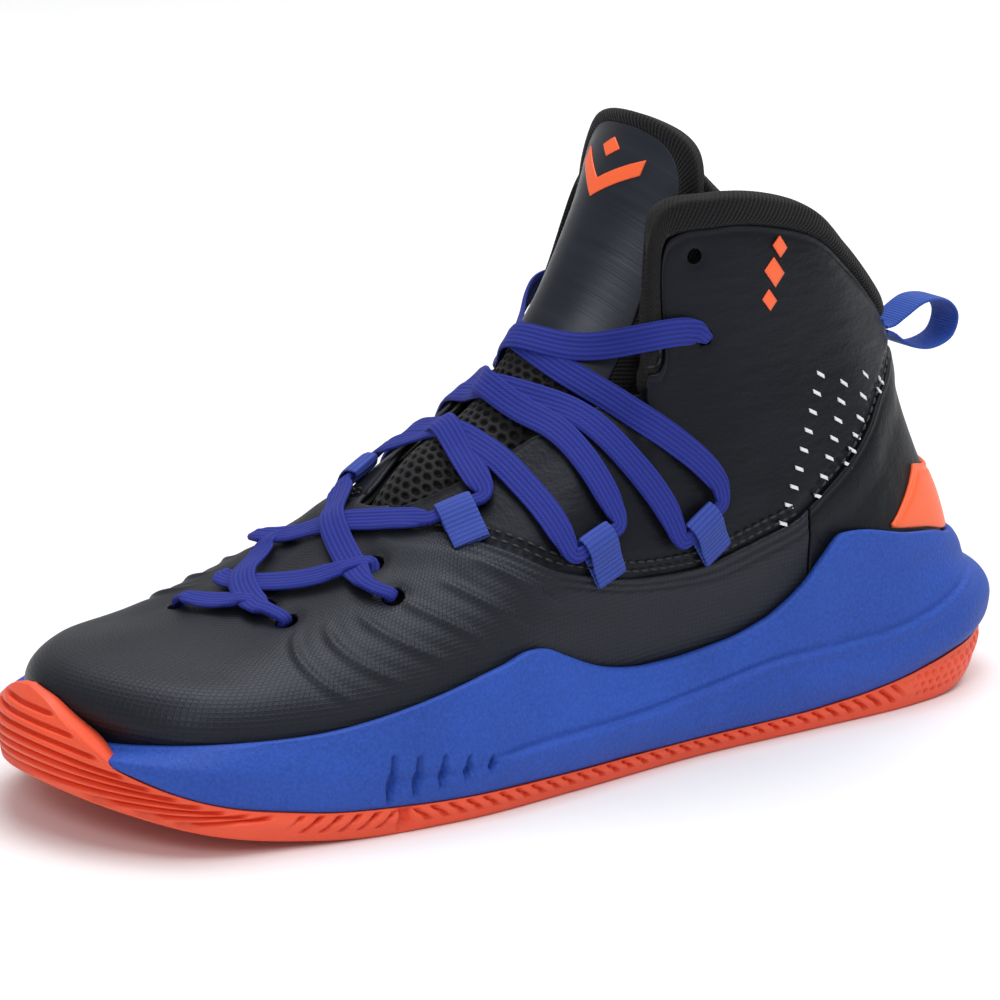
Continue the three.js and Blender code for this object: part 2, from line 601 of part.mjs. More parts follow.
const FOAM_LOW = 0.57;
const FOAM_REACH = 0.53;
const collarFoam = () => cut(sheet({
  from: -FOAM_REACH / 2, to: FOAM_REACH / 2, low: flat(FOAM_LOW), high: flat(0.972),
  depths: [flat(STAY_DEPTH + 0.15), (u, v) => liningDepth(u, v) - GAP],
}), [1, -1].flatMap(collarEyelets).map((hole) => punch(hole, EYELET_RADIUS + 0.6)));

const LINING_TOP = 0.9;
const liningTop = (a) => lerp(LINING_TOP, 0.985, smooth(KNIT_END - 0.02, KNIT_END + 0.04, a));
function lining() {
  const face = (extra) => ringColumns.map((u) => UPPER_ROWS.map((row) => {
    const v = Math.min(liningTop(around(u)), row);
    return offUpper(u, v, -(liningDepth(u, v) + extra));
  }));
  return cut(slab(face(0), face(LINING_THICKNESS), true),
    [1, -1].flatMap(collarEyelets).map((hole) => punch(hole, EYELET_RADIUS + 0.6)));
}

// The knit band: up the outside from its stitch line, over the foam's top and down the inside.
function collarKnit() {
  const outer = [];
  const inner = [];
  for (const u of ringPlaces(-KNIT_END / 2, KNIT_END / 2)) {
    const a = around(u);
    const start = Math.min(0.985, bandLine(a) + bandGap(a) / 2);
    const end = LINING_TOP + SEAM_GAP;
    const depth = liningDepth(u, 1);
    const back = depth + LINING_THICKNESS;
    const knit = KNIT_THICKNESS;
    outer.push([offUpper(u, start, 0), offUpper(u, lerp(start, 1, 0.5), 0), offUpper(u, 1, 0, 0.4),
      offUpper(u, 1, -0.3 * back, 2), offUpper(u, 1, -0.7 * back, 2), offUpper(u, 1, -back, 0.4),
      offUpper(u, 0.96, -liningDepth(u, 0.96) - LINING_THICKNESS),
      offUpper(u, end, -liningDepth(u, end) - LINING_THICKNESS)]);
    inner.push([offUpper(u, start, -knit), offUpper(u, lerp(start, 1, 0.5), -knit), offUpper(u, 1, -knit, 0),
      offUpper(u, 1, -0.35 * back, 2 - knit), offUpper(u, 1, -0.65 * back, 2 - knit), offUpper(u, 1, -depth, 0),
      offUpper(u, 0.96, -liningDepth(u, 0.96)), offUpper(u, end, -liningDepth(u, end))]);
  }
  return slab(outer, inner);
}

// The lining's inside at one height, on its flat facets.
function insideAt(u, z) {
  const rows = UPPER_ROWS.map((v) => liningInside(u, v));
  const upper = Math.max(1, rows.findIndex((place) => place.z > z));
  const share = clamp01((z - rows[upper - 1].z) / (rows[upper].z - rows[upper - 1].z));
  return rows[upper - 1].lerp(rows[upper], share).setZ(z);
}

function sockliner() {
  const rise = (u) => lerp(SOCKLINER.heel, SOCKLINER.forefoot, smooth(-40, 40, onUpper(u, 0).x));
  const ring = (share) => (u) => insideAt(u, boardTop(u) + GAP + share * rise(u));
  return stack([0, 0.5, 1].map(ring).map(loop));
}

// ---------------------------------------------------------------- tongue
// Middle line of the tongue's face (x, z), its half width and how far its edges wrap back round the shin.
const TONGUE = [
  [60, 58.6, 13, 5], [52, 62, 14, 7], [46, 65.6, 15, 10], [39, 75, 17, 17], [30, 83, 19, 19],
  [20, 88, 21, 19], [10, 94, 23, 20], [3, 102, 24, 23], [-4, 110, 24, 22], [-11, 119, 24, 20],
  [-19, 132, 24, 17], [-26, 145, 24.8, 15], [-31, 155, 26.5, 13], [-35.5, 163, 27.5, 11], [-38, 168.5, 27.5, 9],
];
const tongueKnots = TONGUE.map((_, k) => k / (TONGUE.length - 1));
const tongueLine = pointCurve(tongueKnots, TONGUE.map(([x, z]) => point(x, 0, z)), false);
const tongueShape = pointCurve(tongueKnots, TONGUE.map(([, , w, d]) => new THREE.Vector3(w * widthScale, d, 0)), false);
const WRAP_POWER = 1.8;

function onTongue(s, t) {
  const step = 0.004;
  const along = tongueLine(s + step).sub(tongueLine(s - step)).normalize();
  const shape = tongueShape(s);
  const wrap = shape.y * Math.abs(t) ** WRAP_POWER;
  const middle = tongueLine(s);
  return new THREE.Vector3(middle.x - along.z * wrap, shape.x * t, middle.z + along.x * wrap);
}

function offTongue(s, t, out) {
  const step = 0.01;
  const up = onTongue(Math.min(1, s + step), t).sub(onTongue(Math.max(0, s - step), t));
  const across = onTongue(s, t + step).sub(onTongue(s, t - step));
  const outward = across.cross(up).normalize();
  if (outward.x < 0 && outward.z < 0) outward.negate();
  return onTongue(s, t).addScaledVector(outward, out);
}

// The round top of the tongue: how high s runs at each t for an outline scaled by k.
const TONGUE_SHOULDER = 0.8;
const tongueTop = (t, k) => {
  const reach = 1 - (1 - k) * 0.35;
  return TONGUE_SHOULDER + (reach - TONGUE_SHOULDER) * (1 - Math.min(1, Math.abs(t / k)) ** 2.6) ** (1 / 2.6);
};
const PAD_EDGE = 0.83;         // share of the tongue's width inside the binding
const TONGUE_BASE = 0.03;

function tonguePlate(depths, low, columns = 10, rows = 12) {
  const face = (depth) => {
    const grid = [];
    for (let c = 0; c <= columns; c += 1) {
      const t = PAD_EDGE * (-1 + (2 * c) / columns) * 0.998;
      const top = tongueTop(t, PAD_EDGE);
      const column = [];
      for (let row = 0; row <= rows; row += 1) column.push(offTongue(lerp(low, top, row / rows), t, -depth));
      grid.push(column);
    }
    return grid;
  };
  return slab(face(depths[0]), face(depths[1]));
}

// The swing line across the tongue, at the front face of its shield just above the top lace.
const swingMiddle = tongueLine(0.628);
const SWING = {
  x: swingMiddle.x + GAP + SHIELD_THICKNESS + 0.6,
  z: swingMiddle.z,
};
const halfSpace = (above, tilt) => {
  const size = 200;
  const box = new THREE.BoxGeometry(size, size, size);
  box.translate(0, 0, ((above ? 1 : -1) * size) / 2 + (above ? -GAP / 2 : GAP / 2));
  box.rotateY(THREE.MathUtils.degToRad(tilt));
  box.translate(SWING.x, 0, SWING.z);
  return box;
};
const MARGIN = 1.5;            // degrees left between the two halves when it leans back
const swingPart = (geometry) => cut(geometry, [halfSpace(false, TONGUE_BACK + MARGIN)]);
const fixedPart = (geometry) => cut(geometry, [halfSpace(true, 0)]);

const PAD = [0, TONGUE_THICKNESS];
const BACK = [TONGUE_THICKNESS + GAP, TONGUE_THICKNESS + GAP + LINING_THICKNESS];
const SHIELD = [-GAP - SHIELD_THICKNESS, -GAP];

function tongueBinding() {
  const outer = [];
  const inner = [];
  const path = [];
  const steps = 10;
  for (let k = 0; k < steps; k += 1) path.push([-1, lerp(0.56, TONGUE_SHOULDER, k / steps)]);
  for (let k = 0; k <= 20; k += 1) path.push([-Math.cos((Math.PI * k) / 20), null]);
  for (let k = steps - 1; k >= 0; k -= 1) path.push([1, lerp(0.56, TONGUE_SHOULDER, k / steps)]);
  const place = (t, s, k, out) => {
    const scaled = t * k * 0.998;
    return offTongue(s ?? tongueTop(scaled, k), scaled, out);
  };
  const edge = PAD_EDGE + 0.012;
  for (const [t, s] of path) {
    outer.push([place(t, s, edge, 1.2), place(t, s, 0.93, 1.6), place(t, s, 1, 0.2)]);
    inner.push([place(t, s, edge, -5.6), place(t, s, 0.93, -6), place(t, s, 1, -4.4)]);
  }
  return swingPart(slab(outer, inner));
}

// ---------------------------------------------------------------- lace holes and webbing loops
const ringPlace = (side, a, v) => ({ u: side > 0 ? a / 2 : 1 - a / 2, v });
const vampHoles = {
  outer: [[0.955, 0.745], [0.913, 0.7], [0.853, 0.83], [0.812, 0.684]].map(([a, v]) => ringPlace(1, a, v)),
  inner: [[0.93, 0.64], [0.9, 0.72], [0.86, 0.82], [0.815, 0.69]].map(([a, v]) => ringPlace(-1, a, v)),
};
const TOP_EYELET = { a: 0.448, v: 0.707 };
const SPARE_EYELET = { a: 0.447, v: 0.882 };
const collarEyelets = (side) => [TOP_EYELET, SPARE_EYELET].map(({ a, v }) => ringPlace(side, a, v));

// Each webbing loop stands on the double seam and points at the lacing edge.
const LOOPS = [
  { name: 'front', base: [0.758, 0.76], top: [0.785, 0.95] },
  { name: 'middle', base: [0.643, 0.45], top: [0.664, 0.62] },
  { name: 'rear', base: [0.497, 0.3], top: [0.524, 0.44] },
];
function loopFrame(side, { base, top }) {
  const foot = ringPlace(side, ...base);
  const head = ringPlace(side, ...top);
  const start = upperFrame(foot.u, foot.v);
  const end = upperFrame(head.u, head.v);
  const up = end.at.clone().sub(start.at).normalize();
  const out = start.outward.clone().add(end.outward);
  out.addScaledVector(up, -out.dot(up)).normalize();
  return { foot: start.at, up, out, rear: up.clone().cross(out).multiplyScalar(side).normalize() };
}
const SEW_LIFT = 1.1;          // the webbing's lower run above the panel, clear of its curve
const HOLD_LIFT = SEW_LIFT + WEBBING.thickness / 2 + GAP + LACE.bunched / 2 + 0.05;

function webbingLoop(side, spec) {
  const frame = loopFrame(side, spec);
  const high = HOLD_LIFT + LACE.bunched / 2 + GAP + WEBBING.thickness / 2;
  const length = WEBBING.length;
  const path = [[0, SEW_LIFT], [length * 0.5, SEW_LIFT], [length - 2.2, SEW_LIFT], [length - 0.7, SEW_LIFT + 0.9],
    [length, (SEW_LIFT + high) / 2], [length - 0.7, high - 0.9], [length - 2.2, high],
    [length * 0.62, high], [length * 0.25, lerp(SEW_LIFT, high, 0.45)],
    [0, SEW_LIFT + WEBBING.thickness + GAP]];
  return strap(path.map(([along, lift]) => frame.foot.clone()
    .addScaledVector(frame.up, along).addScaledVector(frame.out, lift)), frame.rear, WEBBING);
}

// A flat strap along a path that stays square to one width direction.
function strap(path, across, { width, thickness }) {
  return bar(path.map((at, k) => {
    const before = path[Math.max(0, k - 1)];
    const after = path[Math.min(path.length - 1, k + 1)];
    const along = after.clone().sub(before).normalize();
    const lift = along.clone().cross(across).normalize().multiplyScalar(thickness / 2);
    const half = across.clone().multiplyScalar(width / 2);
    return [at.clone().add(half).add(lift), at.clone().sub(half).add(lift),
      at.clone().sub(half).sub(lift), at.clone().add(half).sub(lift)];
  }));
}

// ---------------------------------------------------------------- lace
// The route is a list of stops. Each has a place, the direction that faces away from the foot and how
// far the flat braid is gathered into a thick one (1 in a hole or a loop, 0 on a free run).
const RUN = LACE.thickness / 2 + GAP + 0.45;
const stop = (at, normal, gather = 0) => ({ at, normal, gather });
const onFace = (u, v, lift = RUN, gather = 0) => {
  const face = upperFrame(u, v);
  return stop(face.at.clone().addScaledVector(face.outward, lift), face.outward, gather);
};
const overTongue = (s, t, lift = RUN) => {
  const at = offTongue(s, t, lift);
  return stop(at, at.clone().sub(offTongue(s, t, lift - 1)));
};
// A place some way from one hole towards another place on the face.
function toward(hole, goal, distance, lift, gather = 1) {
  const share = distance / upperFrame(hole.u, hole.v).at.distanceTo(upperFrame(goal.u, goal.v).at);
  return onFace(lerp(hole.u, goal.u, share), lerp(hole.v, goal.v, share), lift, gather);
}
// Down through one hole, under the vamp and up through the next; before and after say where the lace
// comes from and goes to.
function throughHoles(first, second, before, after) {
  const under = -(PANEL_THICKNESS + GAP + LACE.bunched / 2 + 0.25);
  return [toward(first, before, VAMP_HOLE_RADIUS + 1.2, RUN + 1.2, 0.9), toward(first, second, 0, 0.2),
    toward(first, second, 1.6, under * 0.62), toward(first, second, VAMP_HOLE_RADIUS + 0.6, under),
    toward(second, first, VAMP_HOLE_RADIUS + 0.6, under), toward(second, first, 1.6, under * 0.62),
    toward(second, first, 0, 0.2), toward(second, after, VAMP_HOLE_RADIUS + 1.2, RUN + 1.2, 0.9)];
}
// Through a webbing loop, entering on its toe side.
function throughLoop(side, spec) {
  const frame = loopFrame(side, spec);
  const held = frame.foot.clone().addScaledVector(frame.up, WEBBING.length - 3.2)
    .addScaledVector(frame.out, HOLD_LIFT);
  const half = WEBBING.width / 2;
  const place = (along, gather, up = 0) => stop(
    held.clone().addScaledVector(frame.rear, along).addScaledVector(frame.up, up), frame.out, gather,
  );
  return [place(-half - 3.2, 0.9, 0.4), place(-half * 0.6, 1), place(half * 0.6, 1), place(half + 3.2, 0.9, 0.4)];
}
// A run across the vamp between two places on its face.
function acrossVamp(from, to, lifts) {
  const start = from.u;
  const end = to.u;
  return lifts.map((lift, k) => {
    const share = (k + 1) / (lifts.length + 1);
    return onFace(lerp(start, end, share), lerp(from.v, to.v, share), lift);
  });
}

// One half of the lacing: from its own end of the front bar, across the vamp, then from side to side
// through the loops to the top eyelet of the other side, and down inside the collar.
const OVER = RUN + LACE.thickness + GAP + 0.2;
const TONGUE_LIFT = 0.8;       // clears the hollow where the tongue bends up the shin
function laceHalf(side, crest) {
  const own = side > 0 ? vampHoles.outer : vampHoles.inner;
  const other = side > 0 ? vampHoles.inner : vampHoles.outer;
  const [front, middle, rear] = LOOPS;
  const face = (which, a, v, lift = RUN, gather = 0) => {
    const { u } = ringPlace(side * which, a, v);
    return onFace(u, v, lift, gather);
  };
  const tongue = (which, s, t, lift = RUN) => overTongue(s, t * side * which, lift + TONGUE_LIFT);
  const start = ringPlace(side, 0.99, 0.72);
  const tuck = (a, v, gather) => {
    const { u } = ringPlace(-side, a, v);
    return onFace(u, v, -(liningDepth(u, v) + LINING_THICKNESS + AGLET.radius + 1.1), gather);
  };
  return [
    ...throughHoles(own[0], own[1], start, other[2]),
    ...acrossVamp(own[1], other[2], [RUN + 0.6, crest[0] + 0.4, RUN + 0.5]),
    ...throughHoles(other[2], other[3], own[1], ringPlace(-side, 0.9, 0.86)),
    face(-1, 0.9, 0.86), face(-1, 1, 0.94, crest[1]), face(1, 0.9, 0.95, RUN + 0.4), face(1, 0.835, 0.93, RUN + 1.3),
    ...throughLoop(side, front),
    face(1, 0.755, 0.975, RUN + 1.4, 0.2), tongue(1, 0.33, 0.45), tongue(1, 0.36, 0, crest[2]), tongue(-1, 0.375, 0.45),
    face(-1, 0.735, 0.97, RUN + 1), face(-1, 0.715, 0.84), face(-1, 0.695, 0.72, RUN + 1),
    ...throughLoop(-side, middle),
    face(-1, 0.655, 0.76, RUN + 0.8), face(-1, 0.67, 0.9), face(-1, 0.683, 0.985, RUN + 0.6),
    tongue(-1, 0.44, 0.5), tongue(-1, 0.46, 0, crest[3]), tongue(1, 0.48, 0.5),
    face(1, 0.66, 0.98, RUN + 0.6), face(1, 0.635, 0.84), face(1, 0.595, 0.68), face(1, 0.57, 0.58, RUN + 0.8, 0.2),
    ...throughLoop(side, rear),
    face(1, 0.492, 0.5, RUN + 1, 0.3), face(1, 0.555, 0.7, RUN + 0.2), face(1, 0.59, 0.88, RUN + 2.4),
    tongue(1, 0.545, 0.62), tongue(1, 0.565, 0, crest[4]), tongue(-1, 0.59, 0.6),
    face(-1, 0.52, 0.86, RUN + 1.6), face(-1, 0.485, 0.78, RUN + 0.7),
    face(-1, TOP_EYELET.a, TOP_EYELET.v, 0.8, 1), face(-1, TOP_EYELET.a, TOP_EYELET.v, -4, 1),
    tuck(0.448, 0.69, 1), tuck(0.45, 0.6, 0.6), tuck(0.46, 0.5, 0.6), tuck(0.47, 0.42, 0.8),
  ];
}

const laceStops = [
  ...laceHalf(-1, [RUN, OVER, RUN, OVER, OVER]).reverse(),
  onFace(0.5, 0.71),
  ...laceHalf(1, [OVER, RUN, OVER, RUN, RUN]),
];

const LACE_SPAN = 4;           // stops farther apart than this get one more section between them
function laceSamples() {
  const curve = new THREE.CatmullRomCurve3(laceStops.map((each) => each.at), false, 'centripetal');
  const spans = laceStops.length - 1;
  const places = [];
  for (let k = 0; k < spans; k += 1) {
    places.push(k);
    if (laceStops[k].at.distanceTo(laceStops[k + 1].at) > LACE_SPAN) places.push(k + 0.5);
  }
  let across = null;
  return [...places, spans].map((place) => {
    const index = Math.min(spans - 1, Math.floor(place));
    const share = place - index;
    const along = curve.getTangent(place / spans);
    const normal = laceStops[index].normal.clone().lerp(laceStops[index + 1].normal, share).normalize();
    const side = along.clone().cross(normal);
    if (across && side.dot(across) < 0) side.negate();
    if (across && side.length() < 0.5) side.copy(across);
    side.addScaledVector(along, -side.dot(along)).normalize();
    across = side.clone();
    const gather = lerp(laceStops[index].gather, laceStops[index + 1].gather, share);
    return { at: curve.getPoint(place / spans), along, across: side, gather };
  });
}

const laceRun = laceSamples();
function braidSection({ at, along, across, gather }) {
  const width = lerp(LACE.width, LACE.gathered, gather) / 2;
  const thick = lerp(LACE.thickness, LACE.bunched, gather) / 2;
  const lift = along.clone().cross(across).normalize();
  const corner = (w, h) => at.clone().addScaledVector(across, w * width).addScaledVector(lift, h * thick);
  return [corner(1, 0), corner(0.74, 1), corner(-0.74, 1), corner(-1, 0), corner(-0.74, -1), corner(0.74, -1)];
}
const shoelace = () => bar(laceRun.map(braidSection));

function aglet(end, before) {
  const along = end.at.clone().sub(before.at).normalize();
  const tip = new THREE.CylinderGeometry(AGLET.radius * 0.8, AGLET.radius, AGLET.length, 12);
  tip.translate(0, AGLET.length / 2 + GAP, 0);
  tip.applyQuaternion(new THREE.Quaternion().setFromUnitVectors(new THREE.Vector3(0, 1, 0), along));
  tip.translate(end.at.x, end.at.y, end.at.z);
  return tip;
}

// ---------------------------------------------------------------- heel pull loop
const HEEL_SEAT = upperFrame(0, 0.9);
const ROOT_RADIUS = 1;
const PULL_PIVOT = { x: HEEL_SEAT.at.x - ROOT_RADIUS - GAP - 0.9, z: HEEL_SEAT.at.z - 1 };
function pullLoop() {
  const { reach, height, width, thickness } = PULL_LOOP;
  const shape = [[0.3, 0.72], [3, 1.1], [7, 3.2], [0.55 * reach, height * 0.5 - 0.4], [0.85 * reach, height * 0.4],
    [reach - 0.6, height * 0.1], [0.9 * reach, -height * 0.32], [0.6 * reach, -height * 0.5], [7, -4.4],
    [3, -1.6], [0.3, -0.72]];
  const path = shape.map(([back, up]) => new THREE.Vector3(PULL_PIVOT.x - back, 0, PULL_PIVOT.z + up));
  const root = new THREE.CylinderGeometry(ROOT_RADIUS, ROOT_RADIUS, width, 12);
  root.translate(PULL_PIVOT.x, 0, PULL_PIVOT.z);
  const band = strap(path, new THREE.Vector3(0, 1, 0), { width, thickness });
  return fromSolid(toSolid(root).add(toSolid(band)));
}
// The stitched patch that carries the loop, on the heel's face.
const pullPatch = () => sheet({
  from: -0.028, to: 0.028, low: flat(0.874), high: flat(0.938),
  depths: [flat(-GAP - 0.6), flat(-GAP)],
});

// ---------------------------------------------------------------- assembly
add('outsole', outsole(), 'rubber');
add('midsole', midsole(), 'foam');
add('shank_plate', shankPlate(0), 'plate');
add('lasting_board', lastingBoard(), 'board');
add('sockliner', sockliner(), 'sockliner');
add('vamp', vamp(), 'vamp');
add('heel_overlay', heelOverlay(), 'overlay');
add('heel_tab', heelTab(), 'tab');
add('heel_counter', heelCounter(), 'stiffener');
add('toe_puff', toePuff(), 'stiffener');
add('upper_lining', lining(), 'lining');
add('collar_foam', collarFoam(), 'padding');
add('collar_knit', collarKnit(), 'knit');
for (const [side, word] of [[1, 'outer'], [-1, 'inner']]) {
  add(`quarter_${word}`, quarter(side), 'quarter');
  add(`lacing_stay_${word}`, lacingStay(side), 'stiffener');
  for (const spec of LOOPS) add(`lace_loop_${spec.name}_${word}`, webbingLoop(side, spec), 'webbing');
}
const pad = tonguePlate(PAD, TONGUE_BASE);
const back = tonguePlate(BACK, TONGUE_BASE);
add('tongue_mesh_pad', fixedPart(pad), 'mesh');
add('tongue_lining_lower', fixedPart(back), 'lining');
add('tongue_upper_pad', swingPart(pad), 'padding');
add('tongue_lining_upper', swingPart(back), 'lining');
add('tongue_shield', swingPart(tonguePlate(SHIELD, 0.55)), 'shield');
add('tongue_binding', tongueBinding(), 'knit');
add('shoelace', shoelace(), 'lace');
add('aglet_inner', aglet(laceRun.at(-1), laceRun.at(-2)), 'tip');
add('aglet_outer', aglet(laceRun[0], laceRun[1]), 'tip');
add('pull_patch', pullPatch(), 'webbing');
add('pull_loop', pullLoop(), 'webbing');

export default group;
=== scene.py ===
# %% [markdown]
# # A basketball high top, built piece by piece
# This notebook dresses a working CAD model of a high-top shoe. The CAD model, called the frame, fixes every
# size, place and joint. Here each visible piece is remade as a fine mesh with its own finish: foam, rubber,
# coated cloth, knit, braid and webbing. Everything is in metres, with +X to the toe, +Y to the outer side of
# this left shoe and +Z up.

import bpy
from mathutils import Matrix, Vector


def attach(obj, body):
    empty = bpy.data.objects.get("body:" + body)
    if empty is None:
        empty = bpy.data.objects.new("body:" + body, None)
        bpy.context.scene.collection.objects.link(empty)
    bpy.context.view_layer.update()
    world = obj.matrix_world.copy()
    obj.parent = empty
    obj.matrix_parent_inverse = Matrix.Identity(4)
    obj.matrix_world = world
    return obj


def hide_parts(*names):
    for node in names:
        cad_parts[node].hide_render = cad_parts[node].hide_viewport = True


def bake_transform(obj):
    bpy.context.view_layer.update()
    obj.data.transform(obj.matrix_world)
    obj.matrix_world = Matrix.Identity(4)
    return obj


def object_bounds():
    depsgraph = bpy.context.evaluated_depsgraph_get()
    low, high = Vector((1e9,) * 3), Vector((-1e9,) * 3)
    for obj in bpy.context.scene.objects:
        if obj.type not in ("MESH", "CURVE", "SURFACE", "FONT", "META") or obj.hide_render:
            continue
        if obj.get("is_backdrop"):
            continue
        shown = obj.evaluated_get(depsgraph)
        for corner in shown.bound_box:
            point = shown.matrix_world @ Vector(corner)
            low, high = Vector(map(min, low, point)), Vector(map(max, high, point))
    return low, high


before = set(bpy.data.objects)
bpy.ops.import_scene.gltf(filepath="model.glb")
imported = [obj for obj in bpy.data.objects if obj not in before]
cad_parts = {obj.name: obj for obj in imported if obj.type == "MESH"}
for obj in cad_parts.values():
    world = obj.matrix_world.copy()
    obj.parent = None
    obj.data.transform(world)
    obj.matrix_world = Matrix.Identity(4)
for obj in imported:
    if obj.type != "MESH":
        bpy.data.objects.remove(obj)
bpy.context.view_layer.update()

# %% Tools
import math
import bpy
import numpy as np
from mathutils import Vector

MM = 0.001

# %% [markdown]
# ## Smooth lines and curves
# A shoe has hardly a straight line on it, so almost every shape here is a smooth curve through a few points.
# Two kinds are enough. A *line* gives one value along the way, such as the height of the foam's edge, and never
# swings past its points. A *curve* gives a place in space. Both use the same cubic weights.

# %% Lines and curves through points
def lerp(a, b, share):
    return a + (b - a) * share


def ease(a, b, x):
    share = np.clip((x - a) / (b - a), 0, 1)
    return share * share * (3 - 2 * share)


def bump(x, width):
    return np.exp(-(x / width) ** 2)


def cubic(s):
    return 2 * s**3 - 3 * s**2 + 1, s**3 - 2 * s**2 + s, -2 * s**3 + 3 * s**2, s**3 - s**2


def line(*pairs):
    place, value = np.array(pairs, float).T
    slope = np.diff(value) / np.diff(place)
    tangent = np.r_[slope[0], np.zeros(len(value) - 2), slope[-1]]
    before, after = slope[:-1], slope[1:]
    same = before * after > 0
    tangent[1:-1] = np.where(same, 2 * before * after / np.where(same, before + after, 1), 0)

    def at(x):
        x = np.clip(x, place[0], place[-1])
        k = np.clip(np.searchsorted(place, x, side="right") - 1, 0, len(place) - 2)
        step = place[k + 1] - place[k]
        w = cubic((x - place[k]) / step)
        return w[0] * value[k] + w[1] * step * tangent[k] + w[2] * value[k + 1] + w[3] * step * tangent[k + 1]
    return at


def curve(knots, points, closed=False):
    place, spot = np.array(knots, float), np.array(points, float)
    if closed:
        place = np.r_[place[-1] - 1, place, place[0] + 1, place[1] + 1]
        spot = np.vstack([spot[-1], spot, spot[0], spot[1]])
    step = np.diff(place)[:, None]
    chord = np.diff(spot, axis=0) / step
    tangent = np.vstack([chord[:1], chord[:-1], chord[-1:]])
    tangent[1:-1] = (chord[:-1] * step[1:] + chord[1:] * step[:-1]) / (step[:-1] + step[1:])

    def at(t):
        t = np.mod(t, 1) if closed else np.clip(t, place[0], place[-1])
        k = np.clip(np.searchsorted(place, t, side="right") - 1, 0, len(place) - 2)
        long = place[k + 1] - place[k]
        w = [weight[..., None] for weight in cubic((t - place[k]) / long)]
        return w[0] * spot[k] + w[1] * long[..., None] * tangent[k] + w[2] * spot[k + 1] \
            + w[3] * long[..., None] * tangent[k + 1]
    return at


def unit(v):
    return v / np.maximum(np.linalg.norm(v, axis=-1, keepdims=True), 1e-9)


# %% [markdown]
# ## The shape of the foot
# A shoemaker stretches the upper over a *last*, a solid foot. Its surface is described here by thirteen
# sections, from the middle of the heel round to the tip of the toe. Each climbs in seven steps from the sole's
# edge to the top edge, in millimetres. A place on the surface is then two numbers: `u`, once round the shoe,
# and `v`, from the sole (0) to the top edge (1). Every panel, seam and stitch is placed with them, so they all
# lie on one skin. The CAD model uses the same sections.

# %% Sections of the last
# around (0 heel, 1 toe), slimness of the inner side, how far its top draws back, then the seven steps
SECTIONS = [
    (0, 1, 0, [(-134, 0, 27), (-137.5, 0, 40), (-134.5, 0, 53), (-128, 0, 68), (-123, 0, 82),
               (-120.5, 0, 95), (-119, 0, 107)]),
    (0.08, 1, 0, [(-128, 20, 27), (-131.5, 21, 40), (-129, 20, 53), (-123, 18, 68), (-118.5, 16, 82),
                  (-116, 14, 96), (-114, 12.5, 109.5)]),
    (0.2, 1, 2, [(-104, 34.5, 27), (-106, 36.5, 41), (-104, 35.5, 57), (-100, 32.5, 76), (-97, 29, 95),
                 (-95, 26.5, 113), (-92, 25, 129)]),
    (0.33, 0.98, 8, [(-72, 39.5, 27), (-73, 41, 43), (-73, 40, 62), (-72, 37.5, 83), (-71, 34.5, 104),
                     (-70, 33.5, 125), (-69, 33.5, 143.5)]),
    (0.42, 0.96, 15, [(-52, 41, 26), (-52, 42.5, 43), (-52, 41.5, 63), (-50, 39, 85), (-47, 36, 107),
                      (-44, 35, 129), (-42, 35.5, 148)]),
    (0.48, 0.96, 18, [(-40, 41.5, 25.5), (-40, 43, 42), (-39, 42.5, 62), (-36, 39.5, 83), (-31, 35.5, 105),
                      (-27, 33.5, 126), (-25, 33, 145)]),
    (0.54, 0.95, 12, [(-27, 42, 25), (-27, 44, 39), (-26.5, 44, 54), (-25, 42, 71), (-22.5, 38.5, 89),
                      (-20.5, 34.5, 107), (-20, 31.5, 123)]),
    (0.6, 0.95, 3, [(-12, 43, 24), (-12, 45, 36), (-12, 45.5, 49), (-13, 44, 62), (-14.5, 40.5, 76),
                    (-17, 35.5, 90), (-20, 30, 103)]),
    (0.68, 0.93, 0, [(16, 46, 22), (16, 48, 33), (15, 48.5, 45), (13, 46.5, 58), (10, 41, 70.5),
                     (5, 32.5, 83), (0, 23, 93.5)]),
    (0.76, 0.95, 0, [(50, 51, 18.5), (50, 53, 29), (48.5, 51.5, 40), (45, 46.5, 51), (39, 38, 61),
                     (31.5, 27.5, 71), (24, 16.5, 80.5)]),
    (0.84, 0.98, 0, [(90, 48.5, 17), (91, 50, 27), (89, 48, 36), (82, 41.5, 44.5), (70, 32, 52.5),
                     (54, 21.5, 62.5), (36, 10, 74)]),
    (0.92, 0.97, 0, [(122, 36, 18.5), (125, 38, 31), (120, 35, 39.5), (107, 28, 43), (88, 20, 48),
                     (66, 12, 58), (44.5, 5.5, 72)]),
    (1, 1, 0, [(138.5, -3, 20), (143, -3, 34), (137, -2.5, 41.5), (120, -2, 44.5), (98, -1.5, 47.5),
               (73, -1, 56.5), (48, 0, 72)]),
]
STEPS = 7
inner_sections = SECTIONS[1:-1][::-1]
ring_knots = [s[0] / 2 for s in SECTIONS] + [1 - s[0] / 2 for s in inner_sections]
row_curves = []
for row in range(STEPS):
    outer_side = [s[3][row] for s in SECTIONS]
    drawn = (row / (STEPS - 1)) ** 2
    inner_side = [(x - s[2] * drawn, -y * s[1], z) for s in inner_sections for x, y, z in [s[3][row]]]
    row_curves.append(curve(ring_knots, outer_side + inner_side, closed=True))
print("sections of the last:", len(ring_knots))


# %% Places on the skin
def around(u):
    turn = np.mod(u, 1)
    return np.where(turn <= 0.5, turn * 2, 2 - turn * 2)


